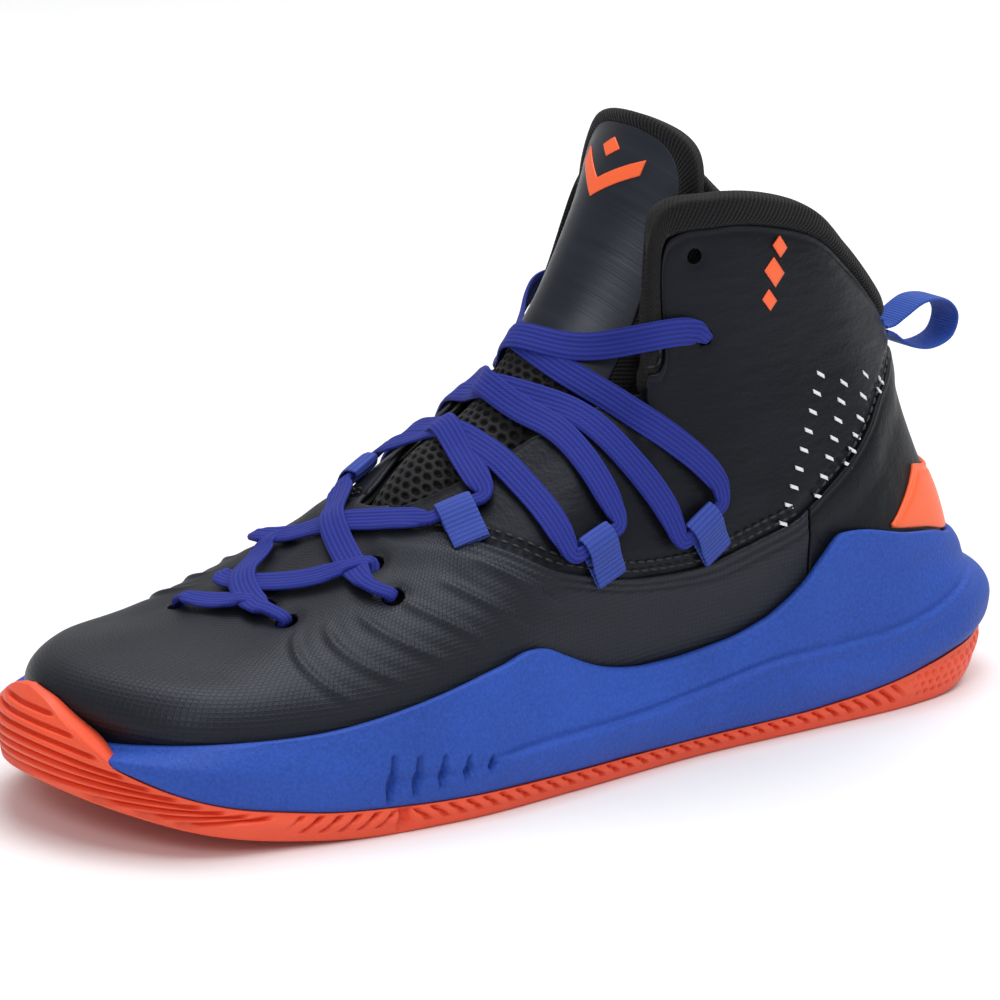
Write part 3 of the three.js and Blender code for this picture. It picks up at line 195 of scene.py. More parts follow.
def on_upper(u, v):
    u, v = np.broadcast_arrays(np.asarray(u, float), np.asarray(v, float))
    rows = np.stack([row_curve(u) for row_curve in row_curves], axis=-2)
    chord = np.diff(rows, axis=-2) * (STEPS - 1)
    tangent = np.concatenate([chord[..., :1, :], (chord[..., :-1, :] + chord[..., 1:, :]) / 2, chord[..., -1:, :]], -2)
    place = np.clip(v, 0, 1) * (STEPS - 1)
    k = np.clip(place.astype(int), 0, STEPS - 2)
    w = [weight[..., None] for weight in cubic(place - k)]
    pick = lambda values, index: np.take_along_axis(values, index[..., None, None], axis=-2)[..., 0, :]
    long = 1 / (STEPS - 1)
    return w[0] * pick(rows, k) + w[1] * long * pick(tangent, k) + w[2] * pick(rows, k + 1) \
        + w[3] * long * pick(tangent, k + 1)


def skin(u, v):
    """Place, outward direction, climb direction and ring direction."""
    u, v = np.broadcast_arrays(np.asarray(u, float), np.asarray(v, float))
    step = 0.004
    along = unit(on_upper(u + step, v) - on_upper(u - step, v))
    climb = unit(on_upper(u, np.minimum(1, v + step)) - on_upper(u, np.maximum(0, v - step)))
    return on_upper(u, v), unit(np.cross(climb, along)), climb, along


def off_upper(u, v, out=0.0, up=0.0):
    place, outward, climb, _ = skin(u, v)
    return place + outward * np.asarray(out)[..., None] + climb * np.asarray(up)[..., None]


def ring_place(side, a):
    return a / 2 if side > 0 else 1 - a / 2


SKIN_HEIGHT = 115     # typical length of a section's climb
SKIN_ROUND = 700      # typical length once round


# %% [markdown]
# ## Making meshes
# Most pieces are a grid of points: columns round the shoe and rows up it. Two grids, an outer and an inner face,
# are sewn together at their edges into a closed shell, which is how a real panel of 1.2 mm cloth looks at its
# cut edge. Each point also gets a flat cloth coordinate in metres, so a weave keeps its true size.

# %% Mesh helpers
def grid_faces(columns, rows, wrap=False, first=0):
    column, row = np.meshgrid(np.arange(columns if wrap else columns - 1), np.arange(rows - 1), indexing="ij")
    after = (column + 1) % columns
    faces = [column * rows + row, after * rows + row, after * rows + row + 1, column * rows + row + 1]
    return first + np.stack(faces, -1).reshape(-1, 4)


def make(name, points, faces, finish, cloth=None, body="shoe", stands_for=(), slot=None, flat=False):
    """Makes one mesh object from millimetre points, gives it a finish and lets it ride on a body, if one is named."""
    points = np.asarray(points, float).reshape(-1, 3)
    faces = [tuple(face) for face in faces]
    mesh = bpy.data.meshes.new(name)
    mesh.from_pydata((points * MM).tolist(), [], faces)
    if cloth is not None:
        corner = np.empty(len(mesh.loops), int)
        mesh.loops.foreach_get("vertex_index", corner)
        layer = mesh.uv_layers.new(name="cloth")
        layer.data.foreach_set("uv", (np.asarray(cloth, float).reshape(-1, 2) * MM)[corner].ravel())
    mesh.validate()
    if not flat:
        mesh.polygons.foreach_set("use_smooth", np.ones(len(mesh.polygons), bool))
    mesh.materials.append(finish)
    piece = bpy.data.objects.new(name, mesh)
    bpy.context.collection.objects.link(piece)
    if body:
        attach(piece, body)
    if stands_for:
        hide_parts(*stands_for)
    print(f"{name}: {len(points)} points, {len(faces)} faces")
    return piece


def outward_faces(points, faces):
    """Turns the faces of a closed mesh so that they look out."""
    p = np.asarray(points).reshape(-1, 3)
    f = np.asarray(faces)
    volume = np.einsum("ij,ij->i", p[f[:, 0]], np.cross(p[f[:, 1]], p[f[:, 2]])).sum() \
        + np.einsum("ij,ij->i", p[f[:, 0]], np.cross(p[f[:, 2]], p[f[:, 3]])).sum()
    return f if volume > 0 else f[:, ::-1]


def shell(outer, inner, wrap=False):
    """The points and faces of a closed panel between two grids."""
    columns, rows = outer.shape[:2]
    count = columns * rows
    face = grid_faces(columns, rows, wrap)
    back = grid_faces(columns, rows, wrap, count)[:, ::-1]
    spot = lambda column, row: (column % columns) * rows + row
    rim = []
    for column in range(columns if wrap else columns - 1):
        for row, turn in ((0, 1), (rows - 1, -1)):
            a, b = spot(column, row), spot(column + 1, row)
            rim.append([a, a + count, b + count, b][::turn])
    if not wrap:
        for row in range(rows - 1):
            for column, turn in ((0, -1), (columns - 1, 1)):
                a, b = spot(column, row), spot(column, row + 1)
                rim.append([a, a + count, b + count, b][::turn])
    points = np.concatenate([outer.reshape(-1, 3), inner.reshape(-1, 3)])
    return points, outward_faces(points, np.concatenate([face, back, np.array(rim)]))


def cloth_map(grid):
    """Flat coordinates of a grid, from its own lengths, measured from its middle."""
    middle_row = grid[:, grid.shape[1] // 2]
    along = np.r_[0, np.cumsum(np.linalg.norm(np.diff(middle_row, axis=0), axis=1))]
    rise = np.linalg.norm(np.diff(grid, axis=1), axis=2)
    up = np.concatenate([np.zeros((len(grid), 1)), np.cumsum(rise, axis=1)], axis=1)
    return np.stack([np.broadcast_to(along[:, None], up.shape), up], -1)


def rows_through(control, samples):
    """Smooth rows through control points: control is (columns, n, 3)."""
    n = control.shape[1]
    chord = np.diff(control, axis=1)
    tangent = np.concatenate([chord[:, :1], (chord[:, :-1] + chord[:, 1:]) / 2, chord[:, -1:]], axis=1)
    t = np.linspace(0, n - 1, samples)
    k = np.clip(t.astype(int), 0, n - 2)
    w = [weight[None, :, None] for weight in cubic(t - k)]
    return w[0] * control[:, k] + w[1] * tangent[:, k] + w[2] * control[:, k + 1] + w[3] * tangent[:, k + 1]


# %% [markdown]
# ## Finishes
# Each material on the shoe gets its own finish, built from Blender's procedural nodes, so no picture is
# needed. A finish is a base colour that varies a little, a roughness, and a *bump*, which is a height pattern that
# bends the light. The patterns are small sums written with Math nodes: a rib is a sine wave, a braid is two
# sine waves that cross. Lengths are divided by the real pitch of the weave, in metres.

# %% A small kit for building finishes
class Finish:
    """A material with a principled shader and short ways to add nodes to it."""

    def __init__(self, name, color, roughness, **sockets):
        self.material = bpy.data.materials.new(name)
        self.material.use_nodes = True
        self.tree = self.material.node_tree
        self.shader = self.tree.nodes["Principled BSDF"]
        self.color = (*color, 1)
        self.shader.inputs["Base Color"].default_value = self.color
        self.shader.inputs["Roughness"].default_value = roughness
        for socket, value in sockets.items():
            self.shader.inputs[socket.replace("_", " ")].default_value = value
        self.height = None
        self.material.diffuse_color = self.color

    def node(self, kind, inputs=None, **settings):
        made = self.tree.nodes.new(kind)
        for name, value in settings.items():
            setattr(made, name, value)
        for name, value in (inputs or {}).items():
            self.plug(value, made.inputs[name])
        return made

    def plug(self, value, socket):
        if isinstance(value, bpy.types.NodeSocket):
            self.tree.links.new(value, socket)
        else:
            socket.default_value = value

    def math(self, operation, a, b=0.0):
        made = self.tree.nodes.new("ShaderNodeMath")
        made.operation = operation
        self.plug(a, made.inputs[0])
        self.plug(b, made.inputs[1])
        return made.outputs[0]

    def cloth(self):
        split = self.node("ShaderNodeSeparateXYZ", {"Vector": self.node("ShaderNodeTexCoord").outputs["UV"]})
        return split.outputs["X"], split.outputs["Y"]

    def place(self):
        return self.node("ShaderNodeTexCoord").outputs["Object"]

    def wave(self, value, pitch):
        """A smooth wave from 0 to 1 along a length, once every pitch."""
        turned = self.math("MULTIPLY", value, 2 * math.pi / pitch)
        return self.math("ADD", self.math("MULTIPLY", self.math("SINE", turned), 0.5), 0.5)

    def noise(self, scale, detail=3.0, where=None, stretch=None):
        where = where or self.place()
        if stretch:
            where = self.node("ShaderNodeMapping", {"Vector": where, "Scale": stretch}).outputs["Vector"]
        return self.node("ShaderNodeTexNoise", {"Vector": where, "Scale": scale, "Detail": detail}).outputs["Fac"]

    def raise_by(self, height, distance):
        """Adds a height pattern, 0 to 1, that stands up by a distance in metres."""
        part = self.math("MULTIPLY", height, distance)
        self.height = part if self.height is None else self.math("ADD", self.height, part)

    def vary_color(self, share, dark, light):
        ramp = self.node("ShaderNodeMix", {"Factor": share}, data_type="RGBA")
        ramp.inputs["A"].default_value = (*[c * dark for c in self.color[:3]], 1)
        ramp.inputs["B"].default_value = (*[min(1, c * light) for c in self.color[:3]], 1)
        self.tree.links.new(ramp.outputs["Result"], self.shader.inputs["Base Color"])

    def vary_roughness(self, share, low, high):
        self.plug(self.node("ShaderNodeMapRange", {"Value": share, "To Min": low, "To Max": high}).outputs["Result"],
                  self.shader.inputs["Roughness"])

    def done(self):
        if self.height is not None:
            made = self.node("ShaderNodeBump", {"Strength": 1.0, "Distance": 1.0, "Height": self.height})
            self.tree.links.new(made.outputs["Normal"], self.shader.inputs["Normal"])
        return self.material


# %% [markdown]
# ## Foam and rubber
# The midsole is moulded foam with a matt, finely speckled skin. The cup under it is solid rubber, a little
# smoother and shinier. Both colours wander slightly, as moulded colours do.

# %% Foam and rubber
foam_skin = Finish("blue_foam", (0.017, 0.066, 0.36), 0.62, Specular_IOR_Level=0.3)
speckle = foam_skin.noise(1100, 4)
grain = foam_skin.math("MULTIPLY", speckle, 0.6)
patches = foam_skin.math("ADD", grain, foam_skin.math("MULTIPLY", foam_skin.noise(22), 0.4))
foam_skin.vary_color(patches, 0.3, 1.75)
foam_skin.vary_roughness(foam_skin.noise(60), 0.54, 0.7)
foam_skin.raise_by(speckle, 0.00028)
foam_skin.raise_by(foam_skin.noise(700, 2), 0.00012)
foam_finish = foam_skin.done()

rubber_skin = Finish("orange_rubber", (0.84, 0.088, 0.032), 0.5, Specular_IOR_Level=0.45)
rubber_skin.vary_color(rubber_skin.noise(35), 0.88, 1.07)
rubber_skin.vary_roughness(rubber_skin.noise(90), 0.4, 0.6)
rubber_skin.raise_by(rubber_skin.noise(1800, 2), 0.00008)
rubber_finish = rubber_skin.done()

# %% [markdown]
# ## Cloth, coated cloth and knit
# The toe box is coated ripstop: a fine square grid of thicker threads under a soft sheen. The side panels
# are smooth synthetic leather with a faint grain. Collar edges and the tongue's edge are ribbed knit. The
# tongue's smooth shield is a film with fine brushed lines across it, so its roughness is streaked sideways.

# %% Upper finishes
COOL = (0.78, 0.85, 1.0, 1.0)     # coated blacks reflect slightly blue
ripstop = Finish("ripstop", (0.0062, 0.0068, 0.0095), 0.43, Specular_IOR_Level=0.34, Specular_Tint=COOL)
along, up = ripstop.cloth()
grid_lines = ripstop.math("MAXIMUM", ripstop.math("POWER", ripstop.wave(along, 0.0013), 5.0),
                          ripstop.math("POWER", ripstop.wave(up, 0.0013), 5.0))
ripstop.raise_by(grid_lines, 0.00005)
ripstop.raise_by(ripstop.noise(900, 2), 0.00007)
ripstop.vary_color(ripstop.noise(28, 4), 0.75, 1.5)
ripstop.vary_roughness(ripstop.math("MULTIPLY", ripstop.math("ADD", grid_lines, ripstop.noise(50)), 0.5), 0.38, 0.56)
ripstop_finish = ripstop.done()


def synthetic(name, color, roughness, streak=(1, 1, 1)):
    """Smooth synthetic leather: fine pores, faint soft creases and a roughness that wanders."""
    leather = Finish(name, color, roughness, Specular_IOR_Level=0.2, Specular_Tint=COOL)
    pores = leather.node("ShaderNodeTexVoronoi", {"Vector": leather.place(), "Scale": 900.0}).outputs["Distance"]
    leather.raise_by(pores, 0.00005)
    leather.raise_by(leather.noise(170, 4, stretch=streak), 0.00035)
    leather.vary_color(leather.noise(30, 4), 0.75, 1.45)
    leather.vary_roughness(leather.noise(45, 3, stretch=streak), roughness - 0.07, roughness + 0.08)
    return leather.done()


quarter_finish = synthetic("side_synthetic", (0.0048, 0.0052, 0.0072), 0.42, (0.5, 1, 1.6))
overlay_finish = synthetic("heel_synthetic", (0.0042, 0.0044, 0.0054), 0.45)


def knitted(name, color, pitch, slant=0.6, deep=0.00035):
    """Ribbed knit: slanted ribs crossed by short stitches."""
    knit = Finish(name, color, 0.9, Specular_IOR_Level=0.15, Sheen_Weight=0.06, Sheen_Roughness=0.6)
    along, up = knit.cloth()
    slanted = knit.math("ADD", along, knit.math("MULTIPLY", up, slant))
    ribs = knit.wave(slanted, pitch)
    loops = knit.wave(knit.math("ADD", up, knit.math("MULTIPLY", along, 0.35)), pitch * 0.55)
    height = knit.math("MULTIPLY", ribs, knit.math("ADD", knit.math("MULTIPLY", loops, 0.45), 0.55))
    knit.raise_by(height, deep)
    knit.raise_by(knit.noise(2200, 2), 0.00008)
    # painted shade and highlight: the colour follows the rib relief, darker in the valleys between ribs and lighter on
    # their tops
    knit.vary_color(height, 0.45, 1.7)
    return knit.done()


collar_finish = knitted("collar_knit", (0.0055, 0.0055, 0.0066), 0.0013)
lining_finish = knitted("soft_lining", (0.0065, 0.0067, 0.008), 0.0009, 0.0, 0.00015)
sockliner_finish = knitted("sockliner_knit", (0.012, 0.013, 0.017), 0.0011, 0.3, 0.0002)

brushed = Finish("brushed_film", (0.0085, 0.0095, 0.0145), 0.34, Specular_IOR_Level=0.42,
                 Specular_Tint=COOL, Coat_Weight=0.05, Coat_Roughness=0.3)
streaks = brushed.noise(1.0, 4, where=brushed.node("ShaderNodeTexCoord").outputs["UV"], stretch=(18, 1500, 1))
wide_streaks = brushed.noise(1.0, 3, where=brushed.node("ShaderNodeTexCoord").outputs["UV"], stretch=(9, 260, 1))
brushed.raise_by(streaks, 0.00006)
brushed.raise_by(wide_streaks, 0.00012)
brushed.vary_color(wide_streaks, 0.6, 1.9)
brushed.vary_roughness(wide_streaks, 0.24, 0.5)
shield_finish = brushed.done()

# %% [markdown]
# ## Braid, webbing, thread and film
# The lace is a flat tube of braid: long ribs, each a row of tiny slanted strands. The loops and the heel's
# pull are woven webbing with ribs across. Stitches are black waxed thread. The orange pieces are a thin
# film bonded to the cloth, with a very fine grain.

# %% Braid, webbing, thread and film
def braided(name, color, rib, strand):
    braid = Finish(name, color, 0.72, Specular_IOR_Level=0.22, Sheen_Weight=0.08, Sheen_Roughness=0.45)
    braid.shader.inputs["Sheen Tint"].default_value = (0.25, 0.3, 0.9, 1)
    along, across = braid.cloth()
    ribs = braid.wave(across, rib)
    share = braid.math("FRACT", braid.math("DIVIDE", across, 2 * rib))
    side = braid.math("ABSOLUTE", braid.math("SUBTRACT", share, 0.5))
    slanted = braid.math("ADD", along, braid.math("MULTIPLY", side, rib * 2.6))
    strands = braid.wave(slanted, strand)
    height = braid.math("ADD", braid.math("MULTIPLY", ribs, 0.6), braid.math("MULTIPLY", strands, 0.4))
    braid.raise_by(height, 0.00028)
    braid.raise_by(braid.noise(2500, 2), 0.00006)
    # painted shade and highlight: the colour follows the braid's relief, darker between ribs and strands and lighter on
    # their tops
    braid.vary_color(height, 0.5, 1.3)
    return braid.done()


def woven(name, color, rib):
    webbing = Finish(name, color, 0.66, Specular_IOR_Level=0.25, Sheen_Weight=0.06, Sheen_Roughness=0.45)
    along, across = webbing.cloth()
    ribs = webbing.wave(along, rib)
    threads = webbing.wave(across, 0.0006)
    height = webbing.math("ADD", webbing.math("MULTIPLY", ribs, 0.7), webbing.math("MULTIPLY", threads, 0.3))
    webbing.raise_by(height, 0.00022)
    # painted shade and highlight: the colour follows the rib relief, darker between the ribs and lighter on their tops
    webbing.vary_color(height, 0.62, 1.2)
    return webbing.done()


lace_finish = braided("lace_braid", (0.019, 0.031, 0.27), 0.00125, 0.0008)
loop_finish = woven("loop_webbing", (0.034, 0.068, 0.36), 0.0013)
pull_finish = woven("pull_webbing", (0.022, 0.08, 0.42), 0.0009)

thread = Finish("black_thread", (0.007, 0.007, 0.0085), 0.42, Specular_IOR_Level=0.4)
thread.raise_by(thread.noise(4000, 2), 0.00005)
thread.vary_color(thread.noise(1500, 2), 0.6, 1.6)
thread_finish = thread.done()


def film(name, color, roughness):
    skin_film = Finish(name, color, roughness, Specular_IOR_Level=0.45)
    skin_film.raise_by(skin_film.noise(1600, 2), 0.00005)
    skin_film.vary_color(skin_film.noise(60), 0.93, 1.04)
    skin_film.vary_roughness(skin_film.noise(200), roughness - 0.06, roughness + 0.08)
    return skin_film.done()


orange_finish = film("orange_film", (1.0, 0.135, 0.035), 0.42)
white_finish = film("pale_print", (0.78, 0.79, 0.82), 0.4)

spacer = Finish("spacer_mesh", (0.0075, 0.0075, 0.009), 0.7, Specular_IOR_Level=0.3, Sheen_Weight=0.05)
spacer.raise_by(spacer.noise(1700, 2), 0.0002)
spacer.vary_color(spacer.noise(1200, 2), 0.5, 1.8)
mesh_finish = spacer.done()
print("finishes:", len(bpy.data.materials))


# %% [markdown]
# ## Studio
# A white floor, a big soft light overhead, a key light from the toe's side and a weak fill. The camera has a
# long lens, stands well back and looks a little down on the outer side, so the shoe's lines stay true.

# %% Floor, lights and camera
def light(name, place, target, size, power):
    lamp = bpy.data.lights.new(name, "AREA")
    lamp.shape, lamp.size, lamp.energy = "DISK", size, power
    holder = bpy.data.objects.new(name, lamp)
    holder.location = place
    holder.rotation_euler = (Vector(target) - Vector(place)).to_track_quat("-Z", "Y").to_euler()
    bpy.context.collection.objects.link(holder)


middle = Vector((0, 0, 0.084))      # half way up the shoe, where all lamps aim
light("overhead", (-0.2, -0.5, 1.5), middle, 1.0, 9)
light("key", (1.1, 0.9, 1.1), middle, 0.55, 5.5)
light("fill", (-0.6, 1.5, 0.5), middle, 1.1, 1.2)
light("edge", (-1.1, -0.6, 0.9), middle, 0.7, 3.5)

sun = bpy.data.lights.new("skylight", "SUN")
sun.energy, sun.angle = 1.75, math.radians(50)
sun_holder = bpy.data.objects.new("skylight", sun)
sun_holder.rotation_euler = (math.radians(-14), math.radians(-10), 0)
bpy.context.collection.objects.link(sun_holder)

world = bpy.data.worlds.new("studio")
bpy.context.scene.world = world
world.use_nodes = True
world.node_tree.nodes["Background"].inputs["Color"].default_value = (1, 1, 1, 1)
world.node_tree.nodes["Background"].inputs["Strength"].default_value = 0.40
bpy.context.scene.view_settings.view_transform = "Standard"

floor_finish = Finish("studio_floor", (0.86, 0.86, 0.87), 0.55, Specular_IOR_Level=0.2)
floor_finish.vary_roughness(floor_finish.noise(8), 0.5, 0.62)
floor_mesh = bpy.data.meshes.new("floor")
reach = 8.0
corners = [(-reach, -reach, 0), (reach, -reach, 0), (reach, reach, 0), (-reach, reach, 0)]
floor_mesh.from_pydata(corners, [], [(0, 1, 2, 3)])
floor_mesh.materials.append(floor_finish.done())
floor = bpy.data.objects.new("floor", floor_mesh)
bpy.context.collection.objects.link(floor)
floor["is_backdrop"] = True

camera_data = bpy.data.cameras.new("camera")
camera_data.lens, camera_data.sensor_width = 159.5, 36.0
camera = bpy.data.objects.new("camera", camera_data)
camera.location = (0.633, 0.969, 0.371)
camera.rotation_euler = (Vector((0.0041, 0, 0.0662)) - camera.location).to_track_quat("-Z", "Y").to_euler()
bpy.context.collection.objects.link(camera)
bpy.context.scene.camera = camera
print("camera distance, metres:", round((camera.location - middle).length, 3))

# %% [markdown]
# ## Sole outline
# The sole is drawn from above as one closed curve, a little wider than the foot. Heights along its side, such
# as the rubber's lip or the foam's top edge, are lines over `around`: 0 at the heel, 1 at the toe. The sole
# lifts off the ground at the toe and at the back of the heel, so that the foot can roll.

# %% Outline and heights of the sole
SOLE_EDGE = [
    (0, -150, 0, 1), (0.04, -148.6, 12, 1), (0.09, -142, 24, 1), (0.15, -128, 35.6, 1), (0.22, -108, 41.2, 1),
    (0.33, -73, 43.9, 0.97), (0.42, -52, 44.8, 0.94), (0.48, -40, 45.4, 0.92), (0.54, -27, 46.5, 0.91),
    (0.6, -12, 48.6, 0.91), (0.68, 16, 53, 0.92), (0.76, 52, 57, 0.95), (0.84, 95, 53.5, 0.97),
    (0.92, 131, 42, 0.97), (0.965, 145.6, 20, 1), (1, 150, -3, 1),
]
edge_back = SOLE_EDGE[1:-1][::-1]
sole_edge = curve([r[0] / 2 for r in SOLE_EDGE] + [1 - r[0] / 2 for r in edge_back],
                  [(r[1], r[2]) for r in SOLE_EDGE] + [(r[1], -r[2] * r[3]) for r in edge_back], closed=True)


def on_sole(u, out, z):
    u, out, z = np.broadcast_arrays(np.asarray(u, float), np.asarray(out, float), np.asarray(z, float))
    along = unit(sole_edge(u + 0.003) - sole_edge(u - 0.003))
    spot = sole_edge(u)
    return np.stack([spot[..., 0] - along[..., 1] * out, spot[..., 1] + along[..., 0] * out, z], -1)


def tread_height(x):
    toe = np.maximum(0, x - 70) / 80
    heel = np.maximum(0, -112 - x) / 38
    return 15 * toe**2 + 10.5 * heel**2


lip_top = line((0, 16), (0.1, 14.5), (0.16, 13.5), (0.2, 11.5), (0.25, 9), (0.3, 7), (0.36, 6), (0.5, 5.6),
               (0.66, 6), (0.76, 6.8), (0.82, 8.4), (0.87, 12), (0.91, 17), (0.94, 22.5), (0.955, 27.5),
               (0.97, 32), (0.985, 36), (1, 37.5))
bulge_height = line((0, 22), (0.1, 21), (0.2, 17.5), (0.33, 14.5), (0.6, 12), (0.76, 13.5), (0.84, 16.5),
                    (0.92, 22.5), (1, 26))
ledge_height = line((0, 30), (0.1, 30), (0.2, 27), (0.3, 24.5), (0.42, 21.5), (0.5, 19.5), (0.62, 17.5),
                    (0.76, 17.5), (0.84, 21.5), (0.92, 25.2), (1, 27))
bulge_out = line((0, 2), (0.12, 3.2), (0.66, 3.2), (0.8, 1.4), (1, 0.8))
ledge_out = line((0, 0), (0.12, 1.2), (0.66, 2.4), (0.8, 1.2), (1, 0))
rim_line = line((0, 0.19), (0.11, 0.216), (0.153, 0.243), (0.207, 0.256), (0.272, 0.273), (0.3, 0.268),
                (0.33, 0.216), (0.358, 0.155), (0.387, 0.11), (0.415, 0.08), (0.482, 0.05), (0.543, 0.045),
                (0.597, 0.06), (0.62, 0.08), (0.642, 0.115), (0.662, 0.165), (0.68, 0.22), (0.705, 0.291),
                (0.717, 0.301), (0.732, 0.288), (0.747, 0.279), (0.772, 0.255), (0.795, 0.235), (0.837, 0.2),
                (0.882, 0.165), (0.927, 0.12), (0.96, 0.08), (1, 0.06))
GAP = 0.3
LIP_THICKNESS = 3.0
RIM_WALL = 2.6
RUBBER = 4.2
bumper = lambda a: ease(0.94, 0.962, a)
print("sole length, mm:", SOLE_EDGE[-1][1] - SOLE_EDGE[0][1])

# %% [markdown]
# ## Rubber cup
# The outsole is one moulding: a tread, a low wall up the foam's side and a tall bumper at the toe. Its wall is
# covered with moulded grooves. Here the wall is a fine grid, and each groove is a dip in it: the grid's points
# are moved inwards by a sum of small bell shapes. That is how a sculptor would carve them, only repeatable.

# %% Outer wall of the rubber
def closed_over(rings):
    """A body of stacked rings, with its first and last ring closed across the shoe."""
    count = rings[0].shape[0]
    points = np.concatenate(rings)
    faces = []
    for ring in range(len(rings) - 1):
        start = ring * count
        column = np.arange(count)
        after = (column + 1) % count
        faces.append(start + np.stack([column, after, after + count, column + count], -1))
    for start, flip in ((0, 1), ((len(rings) - 1) * count, -1)):
        column = np.arange(1, count // 2 - 1)
        cap = np.stack([column, (count - column) % count, count - column - 1, column + 1], -1)
        faces.append((start + cap)[:, ::flip])
        tips = np.array([[0, 1, count - 1, count - 1], [count // 2, count // 2 + 1, count // 2 - 1, count // 2 - 1]])
        faces.append((start + tips)[:, ::flip])
    faces = outward_faces(points, np.concatenate(faces))
    return points, [tuple(dict.fromkeys(face)) for face in faces.tolist()]


# The columns lie closer together towards the toe, where the fine grooves need them.
COLUMNS = 1600
share_round = np.arange(COLUMNS) / COLUMNS
half_round = line((0, 0), (0.3, 0.37), (0.4, 0.46), (0.5, 0.5))
ring_u = np.where(share_round <= 0.5, half_round(share_round), 1 - half_round(1 - share_round))
ring_a = around(ring_u)

edge_x = sole_edge(ring_u)[:, 0]
lip = lip_top(ring_a)
tread_edge = tread_height(edge_x)
lip_face = off_upper(ring_u, 0.2, GAP + RIM_WALL)
toe_share = (bumper(ring_a) * ease(0.95, 1, ring_a))[:, None]
WALL_FOOT = 2.2      # the upright wall starts this far above the tread's edge
wall_low = on_sole(ring_u, 0, tread_edge + WALL_FOOT)
wall_middle = on_sole(ring_u, 1.2, (tread_edge + WALL_FOOT + lip) / 2)
lip_upright = on_sole(ring_u, 0.6, lip)
lip_out = np.concatenate([lerp(lip_upright, lip_face, toe_share)[:, :2], lip[:, None]], 1)
wall_face = rows_through(np.stack([wall_low, wall_middle, lip_out], 1), 80)
wall_side = unit(np.cross(np.gradient(wall_face, axis=1), np.roll(wall_face, -1, 0) - np.roll(wall_face, 1, 0)))
# The normals have to point away from the foot, which is backwards at the heel.
if wall_side[0, 10, 0] > 0:
    wall_side = -wall_side


# %% Grooves of the rubber
TOE_GROOVES = 10
TOE_DEPTH, SIDE_DEPTH, FLEX_DEPTH = 1.9, 2.1, 2.6
FLEX_X = 70           # where the sole has its one notch across, so that it bends at the ball of the foot


def groove(distance, width, depth):
    return -depth * np.exp(-np.abs(distance / width) ** 3)


def wall_pattern(a, x, z, low, high):
    """How far the wall stands out (negative: is cut in) at each place."""
    relief = np.zeros_like(z)
    room = np.clip((z - low) / np.maximum(high - low, 1), 0, 1)
    inside = ease(0.03, 0.16, room) * (1 - ease(0.8, 0.93, room))
    # Curved grooves that sweep from the lip down to the tip of the toe.
    for k in range(TOE_GROOVES):
        start = 0.862 + k * 0.0128
        target = 9.5 + 2.65 * k
        sweep = np.clip((a - start) / (1 - start), 0, 1)
        level = lerp(lip_top(np.array(start)) - 1.2, target, 1 - (1 - sweep) ** 1.7)
        relief += groove(z - level, 0.55, TOE_DEPTH) * ease(start - 0.002, start + 0.006, a)
    # Slanted grooves on both sides of the flex notch.
    pitch = 5.2
    lean = np.where(x > FLEX_X, -1.0, 1.0)
    ahead = np.mod(x - FLEX_X - lean * (z - low) * 1.1, pitch) - pitch / 2
    side_run = ease(-104, -98, x) * (1 - ease(96, 104, x)) * ease(1.5, 4, np.abs(x - FLEX_X)) * inside
    relief += groove(ahead, 0.75, SIDE_DEPTH) * side_run
    relief += groove(x - FLEX_X, 1.6, FLEX_DEPTH) * (1 - ease(0.9, 1.0, room))
    # Rows of small dots up the heel's bevel.
    rows = (z - low) / 2.6
    dots = np.mod(x * 0.32 + np.floor(rows) * 0.5, 1) - 0.5
    up = np.mod(rows, 1) - 0.5
    pit = np.exp(-((dots / 0.17) ** 2 + (up / 0.26) ** 2))
    relief += -1.3 * pit * (1 - ease(-110, -102, x)) * inside
    return relief


u_grid = np.broadcast_to(ring_u[:, None], wall_face.shape[:2])
carved = wall_pattern(around(u_grid), wall_face[..., 0], wall_face[..., 2], tread_edge[:, None] + WALL_FOOT,
                      lip[:, None])
wall_face = wall_face + wall_side * carved[..., None]

rubber_rings = [on_sole(ring_u, -3.0, tread_edge), on_sole(ring_u, -0.9, tread_edge + 0.15),
                on_sole(ring_u, -0.25, tread_edge + 0.9)]
rubber_rings += [wall_face[:, row] for row in range(wall_face.shape[1] - 1)]
lip_wall = on_sole(ring_u, -LIP_THICKNESS, lip)
lip_behind = off_upper(ring_u, 0.17, GAP)
lip_in = np.concatenate([lerp(lip_wall, lip_behind, bumper(ring_a)[:, None])[:, :2], lip[:, None]], 1)
top = wall_face[:, -1]
rubber_rings += [top + (0, 0, -0.25), lerp(top, lip_in, 0.22) + (0, 0, 0.05), lerp(top, lip_in, 0.6), lip_in]
seat_z = tread_edge + RUBBER
rubber_rings += [on_sole(ring_u, -LIP_THICKNESS, lerp(seat_z, lip, 0.55)), on_sole(ring_u, -LIP_THICKNESS, seat_z)]
points, faces = closed_over(rubber_rings)
make("rubber_cup", points, faces, rubber_finish, stands_for=["outsole"], slot="rubber")

# %% [markdown]
# ## Tread
# Under the foot the rubber has a zigzag tread, which grips the floor in every direction. It is a grid laid
# across the sole, and its zigzag lines are lifted off the ground by a repeating pattern.

